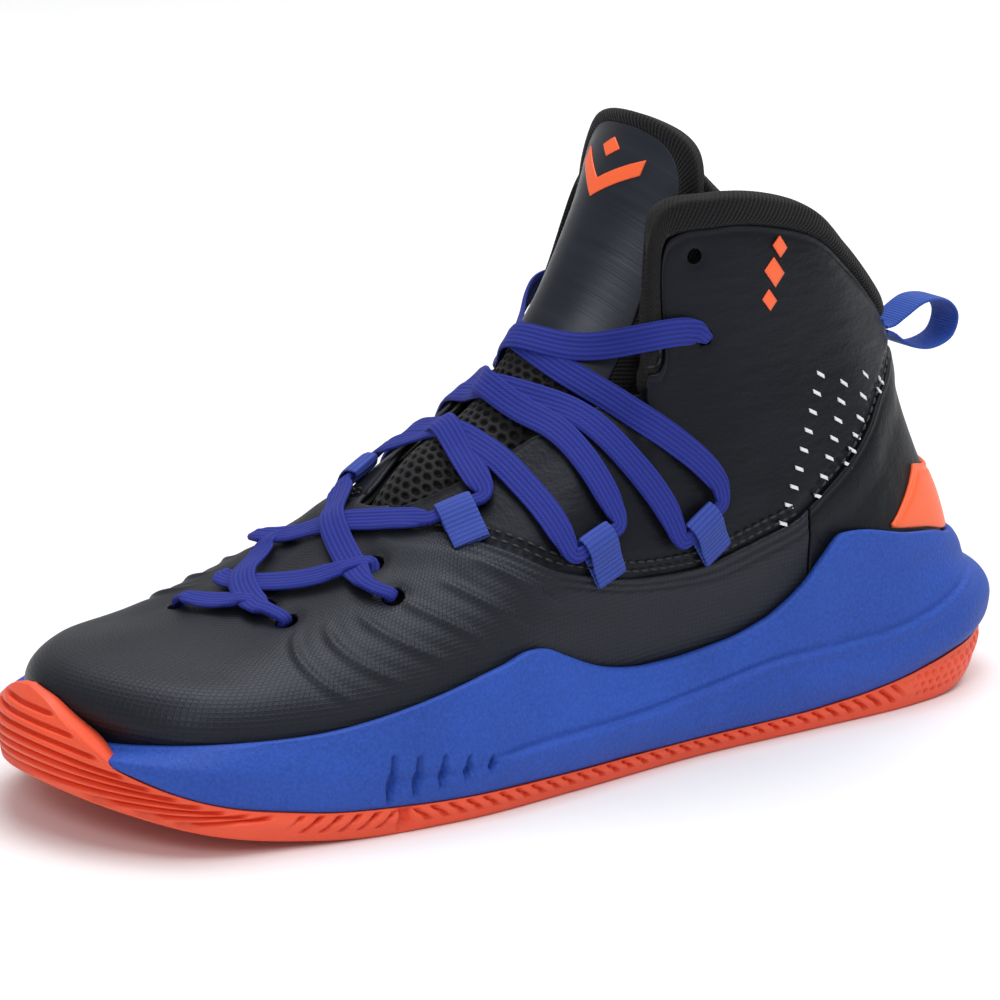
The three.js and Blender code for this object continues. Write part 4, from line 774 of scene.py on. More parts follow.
# %% Tread under the sole
half = 300
tread_u = np.linspace(0.004, 0.496, half)
left = on_sole(tread_u, -3.4, 0)
right = on_sole(1 - tread_u, -3.4, 0)
across = np.linspace(0, 1, 101)[None, :, None]
tread = left[:, None] * (1 - across) + right[:, None] * across
zig = np.abs(np.mod(tread[..., 1] / 18, 1) - 0.5) * 18
ridge = np.mod((tread[..., 0] + zig) / 6.5, 1)
cut_in = ease(0.32, 0.4, ridge) * (1 - ease(0.6, 0.68, ridge))
edge_free = ease(0, 0.05, across[..., 0]) * (1 - ease(0.95, 1, across[..., 0]))
under = tread.copy()
under[..., 2] = tread_height(tread[..., 0]) + 0.05 + 1.2 * cut_in * edge_free
over = tread.copy()
over[..., 2] = tread_height(tread[..., 0]) + 2.5
points, faces = shell(under, over)
make("zigzag_tread", points, faces, rubber_finish, stands_for=["outsole"], slot="rubber")

# %% [markdown]
# ## Foam midsole
# The foam is moulded, so its side is a soft relief: a bulge above the rubber, a long crease that rises towards
# the heel, five flex notches near the ball of the foot, and a rounded step round the heel. Its top edge climbs
# into two waves that cup the foot.

# %% Side wall of the foam
rim = rim_line(ring_a)
inset = LIP_THICKNESS + GAP
tucked = bumper(ring_a)
wrap_out = lambda out: lerp(out, -inset, tucked)
foam_lip = on_sole(ring_u, wrap_out(np.full(COLUMNS, 0.35)), lerp(lip + 0.25, 20.6, tucked))
low_height = lerp(lerp(lip, bulge_height(ring_a), 0.3), 20.8, tucked)
foam_low = on_sole(ring_u, wrap_out(lerp(0.9, bulge_out(ring_a), 0.35)), low_height)
foam_bulge = on_sole(ring_u, wrap_out(bulge_out(ring_a)), lerp(bulge_height(ring_a), 21.2, tucked))
foam_ledge = on_sole(ring_u, wrap_out(ledge_out(ring_a)), lerp(ledge_height(ring_a), 21.8, tucked))
foam_rim = off_upper(ring_u, rim, GAP + RIM_WALL)
foam_face = rows_through(np.stack([foam_lip, foam_low, foam_bulge, foam_ledge, foam_rim], 1), 84)
foam_side = np.cross(np.gradient(foam_face, axis=1), np.roll(foam_face, -1, 0) - np.roll(foam_face, 1, 0))
foam_side = unit(foam_side)
if foam_side[0, 20, 0] > 0:
    foam_side = -foam_side
x, z = foam_face[..., 0], foam_face[..., 2]
a_foam = np.broadcast_to(ring_a[:, None], x.shape)
open_foam = 1 - tucked[:, None]

crease = line((-150, 36), (-132, 33), (-111, 26.9), (-89, 23.9), (-60, 23.2), (-33, 19.7), (-5, 17.3),
              (24, 16.9), (43, 15.6), (60, 14.2), (75, 13))
above = z - crease(x)
run = ease(-146, -120, x) * (1 - ease(36, 52, x))
relief = 0.7 * run * np.exp(-((above + 1.5) / 1.6) ** 2) - 1.0 * run * np.exp(-((above - 0.5) / 0.8) ** 2)
# Round the heel the foam steps in under its top edge.
heel_step = (1 - ease(0.05, 0.34, a_foam))
share_up = (z - lip[:, None]) / np.maximum(foam_rim[:, None, 2] - lip[:, None], 1)
relief += 1.2 * heel_step * bump(share_up - 0.36, 0.15) - 1.9 * heel_step * bump(share_up - 0.72, 0.13)
# Flex notches, longer towards the toe.
for k in range(5):
    notch_x = 74 - 7.4 * k
    long = 13.5 - 2.2 * k
    tip = 22.0 - 1.2 * k
    slant = notch_x - (z - 14) * 0.16
    width = 0.35 + 0.85 * np.exp(-(((tip - z) / long - 0.58) / 0.25) ** 2)
    within = ease(-0.2, 1.2, tip - z) * (1 - ease(long - 0.8, long + 0.6, tip - z))
    relief -= 3.0 * np.exp(-np.abs((x - slant) / width) ** 2.5) * within
    relief -= 0.7 * np.exp(-((x - slant + 3.0) / 2.2) ** 2) * np.exp(-((z - 14.2 + 0.12 * (x - slant + 3)) / 1.1) ** 2)
relief += 0.12 * np.sin(x / 9.0 + z / 5.0) * np.sin(x / 17.0 - z / 7.0)
foam_face = foam_face + foam_side * (relief * open_foam)[..., None]
print("crease height at the arch, mm:", round(float(crease(np.array(0.0))), 1))

# %% Whole midsole
under_z = tread_edge + RUBBER + GAP
board_top = on_upper(ring_u, 0)[:, 2] - GAP
board_bottom = board_top - 1.5
foam_rings = [on_sole(ring_u, -inset, under_z), on_sole(ring_u, -inset, lerp(lip + 0.33, 20, tucked))]
foam_rings += [foam_face[:, row] for row in range(foam_face.shape[1] - 1)]
foam_rings += [off_upper(ring_u, rim - 0.004, GAP + RIM_WALL + 0.02),
               off_upper(ring_u, rim + 0.001, GAP + RIM_WALL * 0.88),
               off_upper(ring_u, rim + 0.004, GAP + RIM_WALL * 0.6), off_upper(ring_u, rim + 0.001, GAP + 0.1)]
for level in (0.66, 0.33, 0.1):
    foam_rings.append(off_upper(ring_u, np.minimum(rim, 0.2) * level, GAP))
floor_ring = off_upper(ring_u, 0, GAP)
floor_ring[:, 2] = board_bottom - GAP
foam_rings.append(floor_ring)
points, faces = closed_over(foam_rings)
make("foam_midsole", points, faces, foam_finish, stands_for=["midsole"], slot="foam")


# %% [markdown]
# ## Panels of the upper
# The upper is cut from flat pieces and sewn: a lower panel that runs round the toe (the vamp), one round the
# heel, and a high side panel (the quarter) on each side that is tucked under both. Each is a shell between two lines
# on the skin. Its cut edge is rolled over slightly, because a perfectly sharp edge never catches the light
# as a real one does.

# %% Panel maker
SEAM_GAP, JOIN_GAP, PANEL = 0.004, 0.002, 1.2
HEEL_JOIN, QUARTER_TIP = 0.345, 0.87
seam_line = line((0.345, 0.335), (0.365, 0.311), (0.41, 0.288), (0.477, 0.268), (0.555, 0.333), (0.632, 0.426),
                 (0.688, 0.521), (0.735, 0.687), (0.777, 0.822), (0.857, 0.95), (0.9, 1))
heel_line = line((0, 0.86), (0.06, 0.85), (0.103, 0.8), (0.155, 0.669), (0.217, 0.541), (0.282, 0.426),
                 (0.333, 0.351), (0.345, 0.335))
band_line = line((0, 0.945), (0.3, 0.95), (0.47, 0.945), (0.483, 0.92), (0.49, 0.86), (0.497, 0.79),
                 (0.505, 0.755), (0.55, 0.84), (0.597, 0.945), (0.625, 0.99), (0.9, 0.995))
RING_MM = 420     # typical length along the side for one step of "around"


def across_edge(level, a, v):
    """Distance in millimetres from a place to an edge line, with its slope allowed for."""
    slope = (level(a + 0.003) - level(a - 0.003)) / 0.006 * SKIN_HEIGHT / RING_MM
    return (level(a) - v) * SKIN_HEIGHT / np.sqrt(1 + slope**2)


def panel(name, start, stop, low, high, columns, rows, out, finish, stands_for, slot, thickness=PANEL, body="shoe"):
    u = np.linspace(start, stop, columns)
    ends = np.array([0, 0.25, 0.6, 1.1]) / SKIN_ROUND
    u = np.sort(np.concatenate([u[1:-1], start + ends, stop - ends]))[:, None]
    a = around(u)
    bottom, top = low(a), high(a)
    edge = np.array([0, 0.12, 0.3, 0.55, 0.9])[None] / SKIN_HEIGHT * np.minimum(1, (top - bottom) * SKIN_HEIGHT / 4)
    inner = lerp(bottom + edge[:, -1:], top - edge[:, -1:], np.linspace(0, 1, rows)[None])
    v = np.concatenate([bottom + edge[:, :-1], inner, top - edge[:, -2::-1]], axis=1)
    u = np.broadcast_to(u, v.shape)
    to_top, to_low = across_edge(high, a, v), -across_edge(low, a, v)
    to_end = np.minimum(u - start, stop - u) * SKIN_ROUND
    near = np.minimum(np.minimum(to_top, to_low), to_end)
    roll = thickness * 0.55 * (1 - np.sqrt(1 - np.clip(1 - near / 0.8, 0, 1) ** 2))
    lift = out(around(u), v, to_top, to_low, u)
    face = off_upper(u, v, lift - roll)
    back = off_upper(u, v, np.minimum(lift, 0.4) - thickness)
    points, faces = shell(face, back)
    cloth = cloth_map(face)
    return make(name, points, faces, finish, np.concatenate([cloth.reshape(-1, 2)] * 2), body, stands_for, slot)


def along_line(a, v, start, end):
    """Distance in millimetres to a straight mark between two places, and how far along it."""
    scale = np.array([RING_MM, SKIN_HEIGHT])
    spot = np.stack(np.broadcast_arrays(a, v), -1) * scale
    start, end = np.array(start) * scale, np.array(end) * scale
    run = end - start
    share = ((spot - start) @ run) / (run @ run)
    return np.linalg.norm(spot - start - np.clip(share, 0, 1)[..., None] * run, axis=-1), share


def hole_cutter(name, places, radius):
    """Short rods through the panels, used to punch holes."""
    points, faces = [], []
    count = 40
    turn = np.arange(count) / count * 2 * np.pi
    for u, v in places:
        spot, outward, climb, _ = skin(u, v)
        side = np.cross(outward, climb)
        ring = (np.cos(turn)[:, None] * climb + np.sin(turn)[:, None] * side) * radius
        base = len(points)
        points += (spot + ring - outward * 6).tolist() + (spot + ring + outward * 8).tolist()
        faces += [(base + k, base + (k + 1) % count, base + count + (k + 1) % count, base + count + k)
                  for k in range(count)]
        faces += [tuple(base + k for k in range(count))[::-1], tuple(base + count + k for k in range(count))]
    mesh = bpy.data.meshes.new(name)
    mesh.from_pydata((np.array(points) * MM).tolist(), [], faces)
    tool = bpy.data.objects.new(name, mesh)
    bpy.context.collection.objects.link(tool)
    return tool


def punch(piece, places, radius):
    """Cuts round holes through a closed piece, keeps the result as plain mesh and counts what was cut."""
    tool = hole_cutter("punch", places, radius)
    cut = piece.modifiers.new("holes", "BOOLEAN")
    cut.operation, cut.solver, cut.object = "DIFFERENCE", "EXACT", tool
    bpy.context.view_layer.update()
    done = bpy.data.meshes.new_from_object(piece.evaluated_get(bpy.context.evaluated_depsgraph_get()))
    piece.modifiers.clear()
    piece.data = done
    bpy.data.objects.remove(tool)
    # A closed skin has 2 more corners and faces than edges, and each hole right through it takes 2 away.
    through = (2 - (len(done.vertices) - len(done.edges) + len(done.polygons))) // 2
    print(f"{piece.name}: {len(places)} holes asked for, {through} go right through, {len(done.polygons)} faces")


# %% [markdown]
# ## Vamp
# The toe box is coated ripstop over a stiff toe puff. Its surface has six pressed ridges that fan
# backwards from the laces, and it creases softly where the foot bends. Its top edge lies over the quarter,
# with two rows of stitching, so the edge stands up by about the cloth's thickness.

# %% Vamp
VAMP_HOLES = {1: [(0.955, 0.745), (0.913, 0.7), (0.853, 0.83), (0.812, 0.684)],
              -1: [(0.93, 0.64), (0.9, 0.72), (0.86, 0.82), (0.815, 0.69)]}
VAMP_HOLE_RADIUS = 3.1
EYELET_RADIUS = 2.1
TOP_EYELET, SPARE_EYELET = (0.448, 0.707), (0.447, 0.882)


def stitch_groove(distance, rows=(2.0, 4.3)):
    return sum(-0.28 * bump(distance - row, 0.75) for row in rows)


def vamp_relief(a, v, to_top, to_low, u):
    seam = (1 - ease(0.86, 0.9, a))
    lift = 0.75 * seam * (1 - ease(5, 13, to_top)) + seam * stitch_groove(to_top)
    for k in range(6):
        top = (0.888 - 0.027 * k, 0.645 + 0.008 * k)
        foot = (0.822 - 0.027 * k, 0.315 + 0.018 * k)
        distance, share = along_line(a, v, top, foot)
        fade = ease(-0.1, 0.25, share) * (1 - ease(0.75, 1.1, share))
        lift = lift + 0.7 * bump(distance, 0.95) * fade - 0.22 * bump(distance - 2.8, 1.6) * fade
    x = on_upper(u, v)[..., 0]
    flex = ease(0.60, 0.68, a) * (1 - ease(0.8, 0.9, a)) * ease(0.15, 0.4, v)
    lift = lift + 0.08 * flex * np.sin(x / 3.4 + v * 9) * np.sin(x / 7.7 + 1)
    for side, holes in VAMP_HOLES.items():
        for a_hole, v_hole in holes:
            same = (np.mod(u, 1) <= 0.5) if side > 0 else (np.mod(u, 1) > 0.5)
            distance = np.linalg.norm(on_upper(u, v) - on_upper(ring_place(side, a_hole), v_hole), axis=-1)
            lift = lift - 0.5 * same * np.exp(-((distance - 3.0) / 1.5) ** 2)
    return lift


vamp_low = lambda a: 0 * a
vamp_high = lambda a: np.where(a > 0.9, 1, np.minimum(1, seam_line(a) - SEAM_GAP / 2))
vamp_start = (HEEL_JOIN + JOIN_GAP) / 2
vamp = panel("vamp_panel", vamp_start, 1 - vamp_start, vamp_low, vamp_high, 620, 104, vamp_relief, ripstop_finish,
             ["vamp"], "vamp")
vamp_places = [(ring_place(side, a), v) for side, holes in VAMP_HOLES.items() for a, v in holes]
punch(vamp, vamp_places, VAMP_HOLE_RADIUS)

# %% [markdown]
# ## Heel panel and quarters
# The heel panel is smooth synthetic over a hard heel counter. The quarters are tucked under it and under the
# vamp. They are stretched over padding, so they swell a little between their seams and crease faintly at the ankle.

# %% Heel panel
def heel_relief(a, v, to_top, to_low, u):
    lift = 0.75 * (1 - ease(5, 13, to_top)) + stitch_groove(to_top, (2.0,)) * ease(0.1, 0.2, a)
    short_seam, share = along_line(a, v, (0.343, 0.283), (0.318, 0.236))
    return lift - 0.35 * bump(short_seam, 0.6) * (share > -0.1) * (share < 1.1)


heel_high = lambda a: heel_line(a) - SEAM_GAP / 2
panel("heel_panel", -HEEL_JOIN / 2, HEEL_JOIN / 2, vamp_low, heel_high, 300, 84, heel_relief, overlay_finish,
      ["heel_overlay"], "overlay")


# %% Quarters
band_gap = line((0.45, 0.004), (0.48, 0.02), (0.51, 0.03), (0.54, 0.012), (0.57, 0.004))
TUCK = 3.0     # how far the quarter runs under the lower panels, mm


def quarter_relief(a, v, to_top, to_low, u):
    lift = -0.72 * (1 - ease(TUCK + 0.2, TUCK + 4.5, to_low))
    eyestay = ease(0.455, 0.5, a)
    lift = lift + stitch_groove(to_top, (2.0,))
    padded = ease(0.5, 0.75, v) * (1 - ease(0.42, 0.5, a)) * ease(2, 12, to_top)
    lift = lift + 0.55 * padded - 0.5 * (1 - ease(0, 7, to_top)) * (1 - eyestay)
    place = on_upper(u, v)
    x, z = place[..., 0], place[..., 2]
    drape = ease(6, 20, to_low) * ease(4, 14, to_top)
    creases = np.sin((z - 0.25 * x) / 6.3 + 1.4 * np.sin(x / 19)) * np.sin(x / 15 + z / 31)
    lift = lift + 0.17 * drape * creases
    for a_hole, v_hole in (TOP_EYELET, SPARE_EYELET):
        side = np.where(np.mod(u, 1) <= 0.5, 1, -1)
        hole = on_upper(np.where(side > 0, a_hole / 2, 1 - a_hole / 2), v_hole)
        distance = np.linalg.norm(place - hole, axis=-1)
        lift = lift - 0.45 * bump(distance - 1.8, 1.5)
    return lift


quarter_low = lambda a: np.where(a < HEEL_JOIN, heel_line(np.minimum(a, HEEL_JOIN)), seam_line(a)) - TUCK / SKIN_HEIGHT
quarter_high = lambda a: band_line(a) - band_gap(a) / 2
for side, word in ((1, "outer"), (-1, "inner")):
    ends = sorted(ring_place(side, a) for a in (JOIN_GAP / 2, QUARTER_TIP))
    quarter = panel(f"quarter_{word}_panel", *ends, quarter_low, quarter_high, 330, 112, quarter_relief,
                    quarter_finish, [f"quarter_{word}"], "quarter")
    punch(quarter, [(ring_place(side, a), v) for a, v in (TOP_EYELET, SPARE_EYELET)], EYELET_RADIUS)

# %% [markdown]
# ## Heel piece and pull patch
# The orange triangle at the heel is a moulded piece bonded over the panel. The patch above it holds the
# webbing pull.

# %% Heel piece and patch
rim_floor = lambda a: rim_line(a) + 0.014
tab_high = lambda a: lerp(rim_line(a) + 0.024, 0.444, np.clip((0.22 - a) / 0.08, 0, 1))
tab_relief = lambda a, v, to_top, to_low, u: 1.25 - 0.35 * bump(to_top - 2.2, 0.8) - 0.35 * ease(0.1, 0.2, a)
panel("heel_piece", -0.11, 0.11, rim_floor, tab_high, 150, 40, tab_relief, orange_finish, ["heel_tab"], "tab", 0.9)
patch_relief = lambda a, v, to_top, to_low, u: 1.1 - 0.2 * bump(to_top - 1.2, 0.4) - 0.2 * bump(to_low - 1.2, 0.4)
panel("pull_patch_sewn", -0.028, 0.028, lambda a: 0.874 + 0 * a, lambda a: 0.938 + 0 * a, 50, 24, patch_relief,
      pull_finish, ["pull_patch"], "webbing", 0.6)

# %% [markdown]
# ## Stitches
# A stitch is a short length of thick thread that dives into the cloth at both ends. Each one here is a small
# capsule, placed along a line on the skin at an even pitch and sunk slightly at its ends. All the stitches
# of one seam are one mesh.

# %% Stitch maker
def beside(u, v, distance):
    """A line on the skin moved sideways by a distance in millimetres."""
    step = 1e-3
    by_u = (on_upper(u + step, v) - on_upper(u - step, v)) / (2 * step)
    high_v, low_v = np.minimum(1, v + step), np.maximum(0, v - step)
    by_v = (on_upper(u, high_v) - on_upper(u, low_v)) / (high_v - low_v)[:, None]
    place, outward, _, _ = skin(u, v)
    side = np.cross(outward, unit(np.gradient(place, axis=0))) * distance
    dot = lambda m, n: (m * n).sum(-1)
    uu, uv, vv, su, sv = dot(by_u, by_u), dot(by_u, by_v), dot(by_v, by_v), dot(side, by_u), dot(side, by_v)
    whole = uu * vv - uv**2
    return u + (su * vv - sv * uv) / whole, v + (sv * uu - su * uv) / whole


def evenly(u, v, pitch):
    """Even places along a line on the skin, with the direction of the line at each."""
    place, outward, _, _ = skin(u, v)
    run = np.r_[0, np.cumsum(np.linalg.norm(np.diff(place, axis=0), axis=1))]
    spots = np.arange(pitch / 2, run[-1], pitch)
    take = lambda values: np.stack([np.interp(spots, run, values[:, k]) for k in range(3)], -1)
    along = unit(np.gradient(place, axis=0))
    return take(place), unit(take(outward)), unit(take(along))


def capsules(centre, outward, along, long, wide, tall):
    """Points and faces of many small capsules, one at each centre."""
    rings, around_count = 7, 8
    t = np.linspace(-1, 1, rings)
    size = np.sqrt(np.maximum(0, 1 - np.abs(t) ** 3.2)) * 0.94 + 0.06
    turn = np.arange(around_count) / around_count * 2 * np.pi
    side = np.cross(outward, along)
    height = size[:, None] * np.sin(turn) * tall / 2 - (np.abs(t) ** 3)[:, None] * 0.22
    shape = (along[:, None, None] * (t * long / 2)[None, :, None, None]
             + side[:, None, None] * (size[:, None] * np.cos(turn))[None, ..., None] * wide / 2
             + outward[:, None, None] * height[None, ..., None])
    points = (centre[:, None, None] + shape).reshape(-1, 3)
    block = rings * around_count
    faces = []
    for ring in range(rings - 1):
        for k in range(around_count):
            a, b = ring * around_count + k, ring * around_count + (k + 1) % around_count
            faces.append((a, b, b + around_count, a + around_count))
    body = np.array(faces)
    all_faces = (body[None] + (np.arange(len(centre)) * block)[:, None, None]).reshape(-1, 4)
    return points, all_faces


def sew(name, lines, pitch=3.1, long=2.5, wide=0.75, tall=0.6, finish=None, body="shoe"):
    """Sews along several lines, each (u, v, lift)."""
    points, faces, count = [], [], 0
    for u, v, lift in lines:
        centre, outward, along = evenly(u, v, pitch)
        p, f = capsules(centre + outward * lift, outward, along, long, wide, tall)
        points.append(p)
        faces.append(f + count)
        count += len(p)
    return make(name, np.concatenate(points), np.concatenate(faces), finish or thread_finish, body=body)


# %% Seams
seams = []
a_seam = np.linspace(0.36, 0.868, 400)
a_heel = np.linspace(0.1, 0.33, 200)
a_band = np.linspace(0.012, 0.6, 420)
for side in (1, -1):
    u_seam = ring_place(side, a_seam)
    for row in (2.0, 4.3):
        # A line sewn forwards has its seam edge on the left on one side of the shoe and on the right on the other.
        seams.append((*beside(u_seam, np.minimum(0.999, seam_line(a_seam) - SEAM_GAP / 2), -side * row), 0.62))
    seams.append((*beside(ring_place(side, a_heel), heel_line(a_heel) - SEAM_GAP / 2, -side * 2.0), 0.62))
    seams.append((*beside(ring_place(side, a_band), quarter_high(a_band), -side * 2.0), 0.0))
sew("seam_stitches", seams)

# %% [markdown]
# ## Printed dashes and marks
# Behind the ankle, four slanted columns of pale dashes are printed on the quarter. On the ankle sit plain
# bonded marks: a column of three diamonds. Both are thin raised patches that follow the skin.

# %% Small raised patches
def patch(centre, outward, right, up, corners, lift, thickness=0.22, bend=None):
    """A thin four-cornered patch on the skin; corners are millimetres right and up of the centre."""
    count = 6
    s, t = np.meshgrid(np.linspace(0, 1, count), np.linspace(0, 1, count), indexing="ij")
    c = np.array(corners, float)
    flat = (c[0] * ((1 - s) * (1 - t))[..., None] + c[1] * (s * (1 - t))[..., None] + c[2] * (s * t)[..., None]
            + c[3] * ((1 - s) * t)[..., None])
    face = centre + right * flat[..., :1] + up * flat[..., 1:]
    if bend is not None:
        face, outward = bend(face, flat)
    return shell(face + outward * (lift + thickness), face + outward * (lift - 0.3))


def on_skin_patch(u, v, corners, lift):
    """A patch whose corners are given in millimetres along the skin."""
    by_u = np.linalg.norm(on_upper(u + 0.002, v) - on_upper(u - 0.002, v)) / 0.004
    by_v = np.linalg.norm(on_upper(u, v + 0.01) - on_upper(u, v - 0.01)) / 0.02

    def bend(face, flat):
        uu, vv = u + flat[..., 0] / by_u, v + flat[..., 1] / by_v
        place, outward, _, _ = skin(uu, vv)
        return place, outward
    place, outward, climb, along = skin(u, v)
    return patch(place, outward, along, climb, corners, lift, bend=bend)


def gather(pieces):
    points, faces, count = [], [], 0
    for p, f in pieces:
        points.append(p)
        faces.append(np.asarray(f) + count)
        count += len(p)
    return np.concatenate(points), np.concatenate(faces)


# %% Dashes and ankle marks
DASHES = [(9, (0.305, 0.624), (0.345, 0.459), (0.385, 0.306)), (7, (0.263, 0.614), (0.295, 0.484), (0.33, 0.358)),
          (6, (0.208, 0.652), (0.248, 0.516), (0.278, 0.429)), (2, (0.165, 0.662), (0.17, 0.645), (0.176, 0.625))]
DASH = [(-1.3, -0.95), (1.2, -0.1), (1.3, 0.95), (-1.2, 0.1)]
for side, word in ((1, "outer"), (-1, "inner")):
    dashes = []
    for count, top, middle_place, foot in DASHES:
        t = np.linspace(0, 1, count)
        a = line((0, top[0]), (0.5, middle_place[0]), (1, foot[0]))(t)
        v = line((0, top[1]), (0.5, middle_place[1]), (1, foot[1]))(t)
        for a_one, v_one in zip(a, v):
            dashes.append(on_skin_patch(ring_place(side, a_one), v_one, [(x * side, y) for x, y in DASH], 0.3))
    points, faces = gather(dashes)
    make(f"dashes_{word}", points, faces, white_finish)
    diamonds = []
    for k, half_width in enumerate((2.6, 3.6, 2.6)):
        corners = [(-half_width, 0), (0, -half_width * 1.15), (half_width, 0), (0, half_width * 1.15)]
        a_mark, v_mark = lerp(0.372, 0.356, k / 2), lerp(0.775, 0.90, k / 2)
        diamonds.append(on_skin_patch(ring_place(side, a_mark), v_mark, corners, 0.5))
    points, faces = gather(diamonds)
    make(f"ankle_diamonds_{word}", points, faces, orange_finish)

# %% [markdown]
# ## Lining and collar
# Inside, a soft knit lining covers the whole upper. Round the ankle, foam sits between lining and quarter, and
# a ribbed knit is rolled over it: up from the stitch line, over the top, and down inside. Its section is a
# closed loop that puffs out between the stitch lines. The foam makes it swell unevenly, so the roll is
# also dimpled by a slow wave.

# %% Lining
heel_extra, collar_padding, channel_depth = 0.9, 3.6, 2.2


def lining_depth(u, v):
    a = around(u)
    heel = heel_extra * (1 - ease(0.42, 0.6, a))
    collar = collar_padding * (1 - ease(0.47, 0.56, a)) * ease(0.45, 0.7, v)
    channel = channel_depth * ease(0.74, 0.8, a) * ease(0.45, 0.55, v) * (1 - ease(0.84, 0.95, v))
    return 2.4 + heel + collar + channel


lining_u = np.linspace(0, 1, 400, endpoint=False)[:, None]
lining_top = lerp(0.66, 0.985, ease(0.56, 0.62, around(lining_u)))
lining_v = lining_top * np.linspace(0, 1, 60)[None]
lining_face = off_upper(lining_u, lining_v, -lining_depth(lining_u, lining_v) - 0.9)
lining_back = off_upper(lining_u, lining_v, -lining_depth(lining_u, lining_v))
points, faces = shell(lining_back, lining_face, wrap=True)
make("soft_lining", points, faces, lining_finish, np.concatenate([cloth_map(lining_back).reshape(-1, 2)] * 2),
     stands_for=["upper_lining"], slot="lining")

# %% Collar roll
roll_u = np.linspace(-0.3, 0.3, 520)
roll_a = around(roll_u)
start = np.minimum(0.985, band_line(roll_a) + band_gap(roll_a) / 2)
fade = 1 - ease(0.5, 0.6, roll_a)      # the padding thins out down the front edge
back_depth = lining_depth(roll_u, 1.0) + 0.9
wave = 0.35 * np.sin(roll_u * 61 + 0.6) * np.sin(roll_u * 23)


def inner_wall(v, bulge):
    level = np.full_like(roll_u, v)
    return off_upper(roll_u, level, -(lining_depth(roll_u, level) + 0.9 + (bulge + wave) * fade))


front = 1 - ease(0.47, 0.5, roll_a)
loops_of_roll = [
    off_upper(roll_u, start, -0.35 + 0 * roll_u),
    off_upper(roll_u, lerp(start, 1, 0.12), 0.3 + 0 * roll_u),
    off_upper(roll_u, lerp(start, 1, 0.5), 0.85 + wave * 0.5),
    off_upper(roll_u, 1.0, 0.35 + 0 * roll_u, 1.2 + 0 * roll_u),
    off_upper(roll_u, 1.0, -0.3 * back_depth, 2.5 + wave),
    off_upper(roll_u, 1.0, -0.7 * back_depth, 2.5 + wave),
    off_upper(roll_u, 1.0, -back_depth - 0.4 * fade, 0.9 + 0 * roll_u),
    inner_wall(0.95, 1.1), inner_wall(0.88, 1.7), inner_wall(0.8, 1.6), inner_wall(0.72, 1.3), inner_wall(0.65, 0.7),
    inner_wall(0.6, 0.05),
    off_upper(roll_u, 0.6, -lining_depth(roll_u, 0.6) + 0.3),
    off_upper(roll_u, 0.8, -3.4 + 0 * roll_u),
    off_upper(roll_u, start - 0.035, -3.2 * front - 1.9 * (1 - front)),
]
control = np.stack(loops_of_roll + loops_of_roll[:1], 1)
roll = rows_through(control, 120)[:, :-1]
columns, rows = roll.shape[:2]
face = grid_faces(columns, rows)
wrap_column = np.arange(columns - 1)
closing = np.stack([wrap_column * rows + rows - 1, (wrap_column + 1) * rows + rows - 1, (wrap_column + 1) * rows,
                    wrap_column * rows], -1)
ends = [tuple(range(rows)), tuple((columns - 1) * rows + k for k in range(rows))[::-1]]
body_faces = outward_faces(roll, np.concatenate([face, closing]))
collar = make("collar_roll", roll, body_faces.tolist() + ends, collar_finish, cloth_map(roll),
              stands_for=["collar_knit", "collar_foam"], slot="knit")

# %% Sockliner
half = 200
liner_u = np.linspace(0.003, 0.497, half)


def liner_ring(u, share):
    rise = lerp(6.0, 4.0, ease(-40, 40, on_upper(u, 0)[:, 0]))
    level = on_upper(u, 0)[:, 2] + share * rise
    v = np.clip((level - on_upper(u, 0)[:, 2]) / 60, 0, 0.3)
    place = off_upper(u, v, -(lining_depth(u, v) + 0.9 + 0.9))
    place[:, 2] = level
    return place


across = np.linspace(0, 1, 61)[None, :, None]
grids = []
for share in (0.0, 1.0):
    left, right = liner_ring(liner_u, share), liner_ring(1 - liner_u, share)
    grid = left[:, None] * (1 - across) + right[:, None] * across
    edge = np.minimum(across[..., 0], 1 - across[..., 0])
    if share:
        grid[..., 2] += 0.5 * np.exp(-(edge / 0.05) ** 2) - 0.9
        grid[..., 2] -= 1.1 * np.exp(-(edge / 0.012) ** 2) - 0.5
    grids.append(grid)
points, faces = shell(grids[1], grids[0])
make("knit_sockliner", points, faces, sockliner_finish, np.concatenate([cloth_map(grids[1]).reshape(-1, 2)] * 2),
     "sockliner_body", ["sockliner"], "sockliner")


# %% [markdown]
# ## Tongue
# The tongue is padded from top to bottom. Its lower part shows open spacer mesh, its upper part carries a
# smooth film shield, and a puffy knit edge runs round its top. It bends where the lacing ends. Each layer
# is one mesh across that bend.

# %% Shape of the tongue
TONGUE = [(60, 58.6, 13, 5), (52, 62, 14, 7), (46, 65.6, 15, 10), (39, 75, 17, 17), (30, 83, 19, 19),
          (20, 88, 21, 19), (10, 94, 23, 20), (3, 102, 24, 23), (-4, 110, 24, 22), (-11, 119, 24, 20),
          (-19, 132, 24, 17), (-26, 145, 24.8, 15), (-31, 155, 26.5, 13), (-35.5, 163, 27.5, 11), (-38, 168.5, 27.5, 9)]
tongue_knots = np.linspace(0, 1, len(TONGUE))
tongue_line = curve(tongue_knots, [(x, z) for x, z, _, _ in TONGUE])
tongue_shape = curve(tongue_knots, [(w, d) for _, _, w, d in TONGUE])


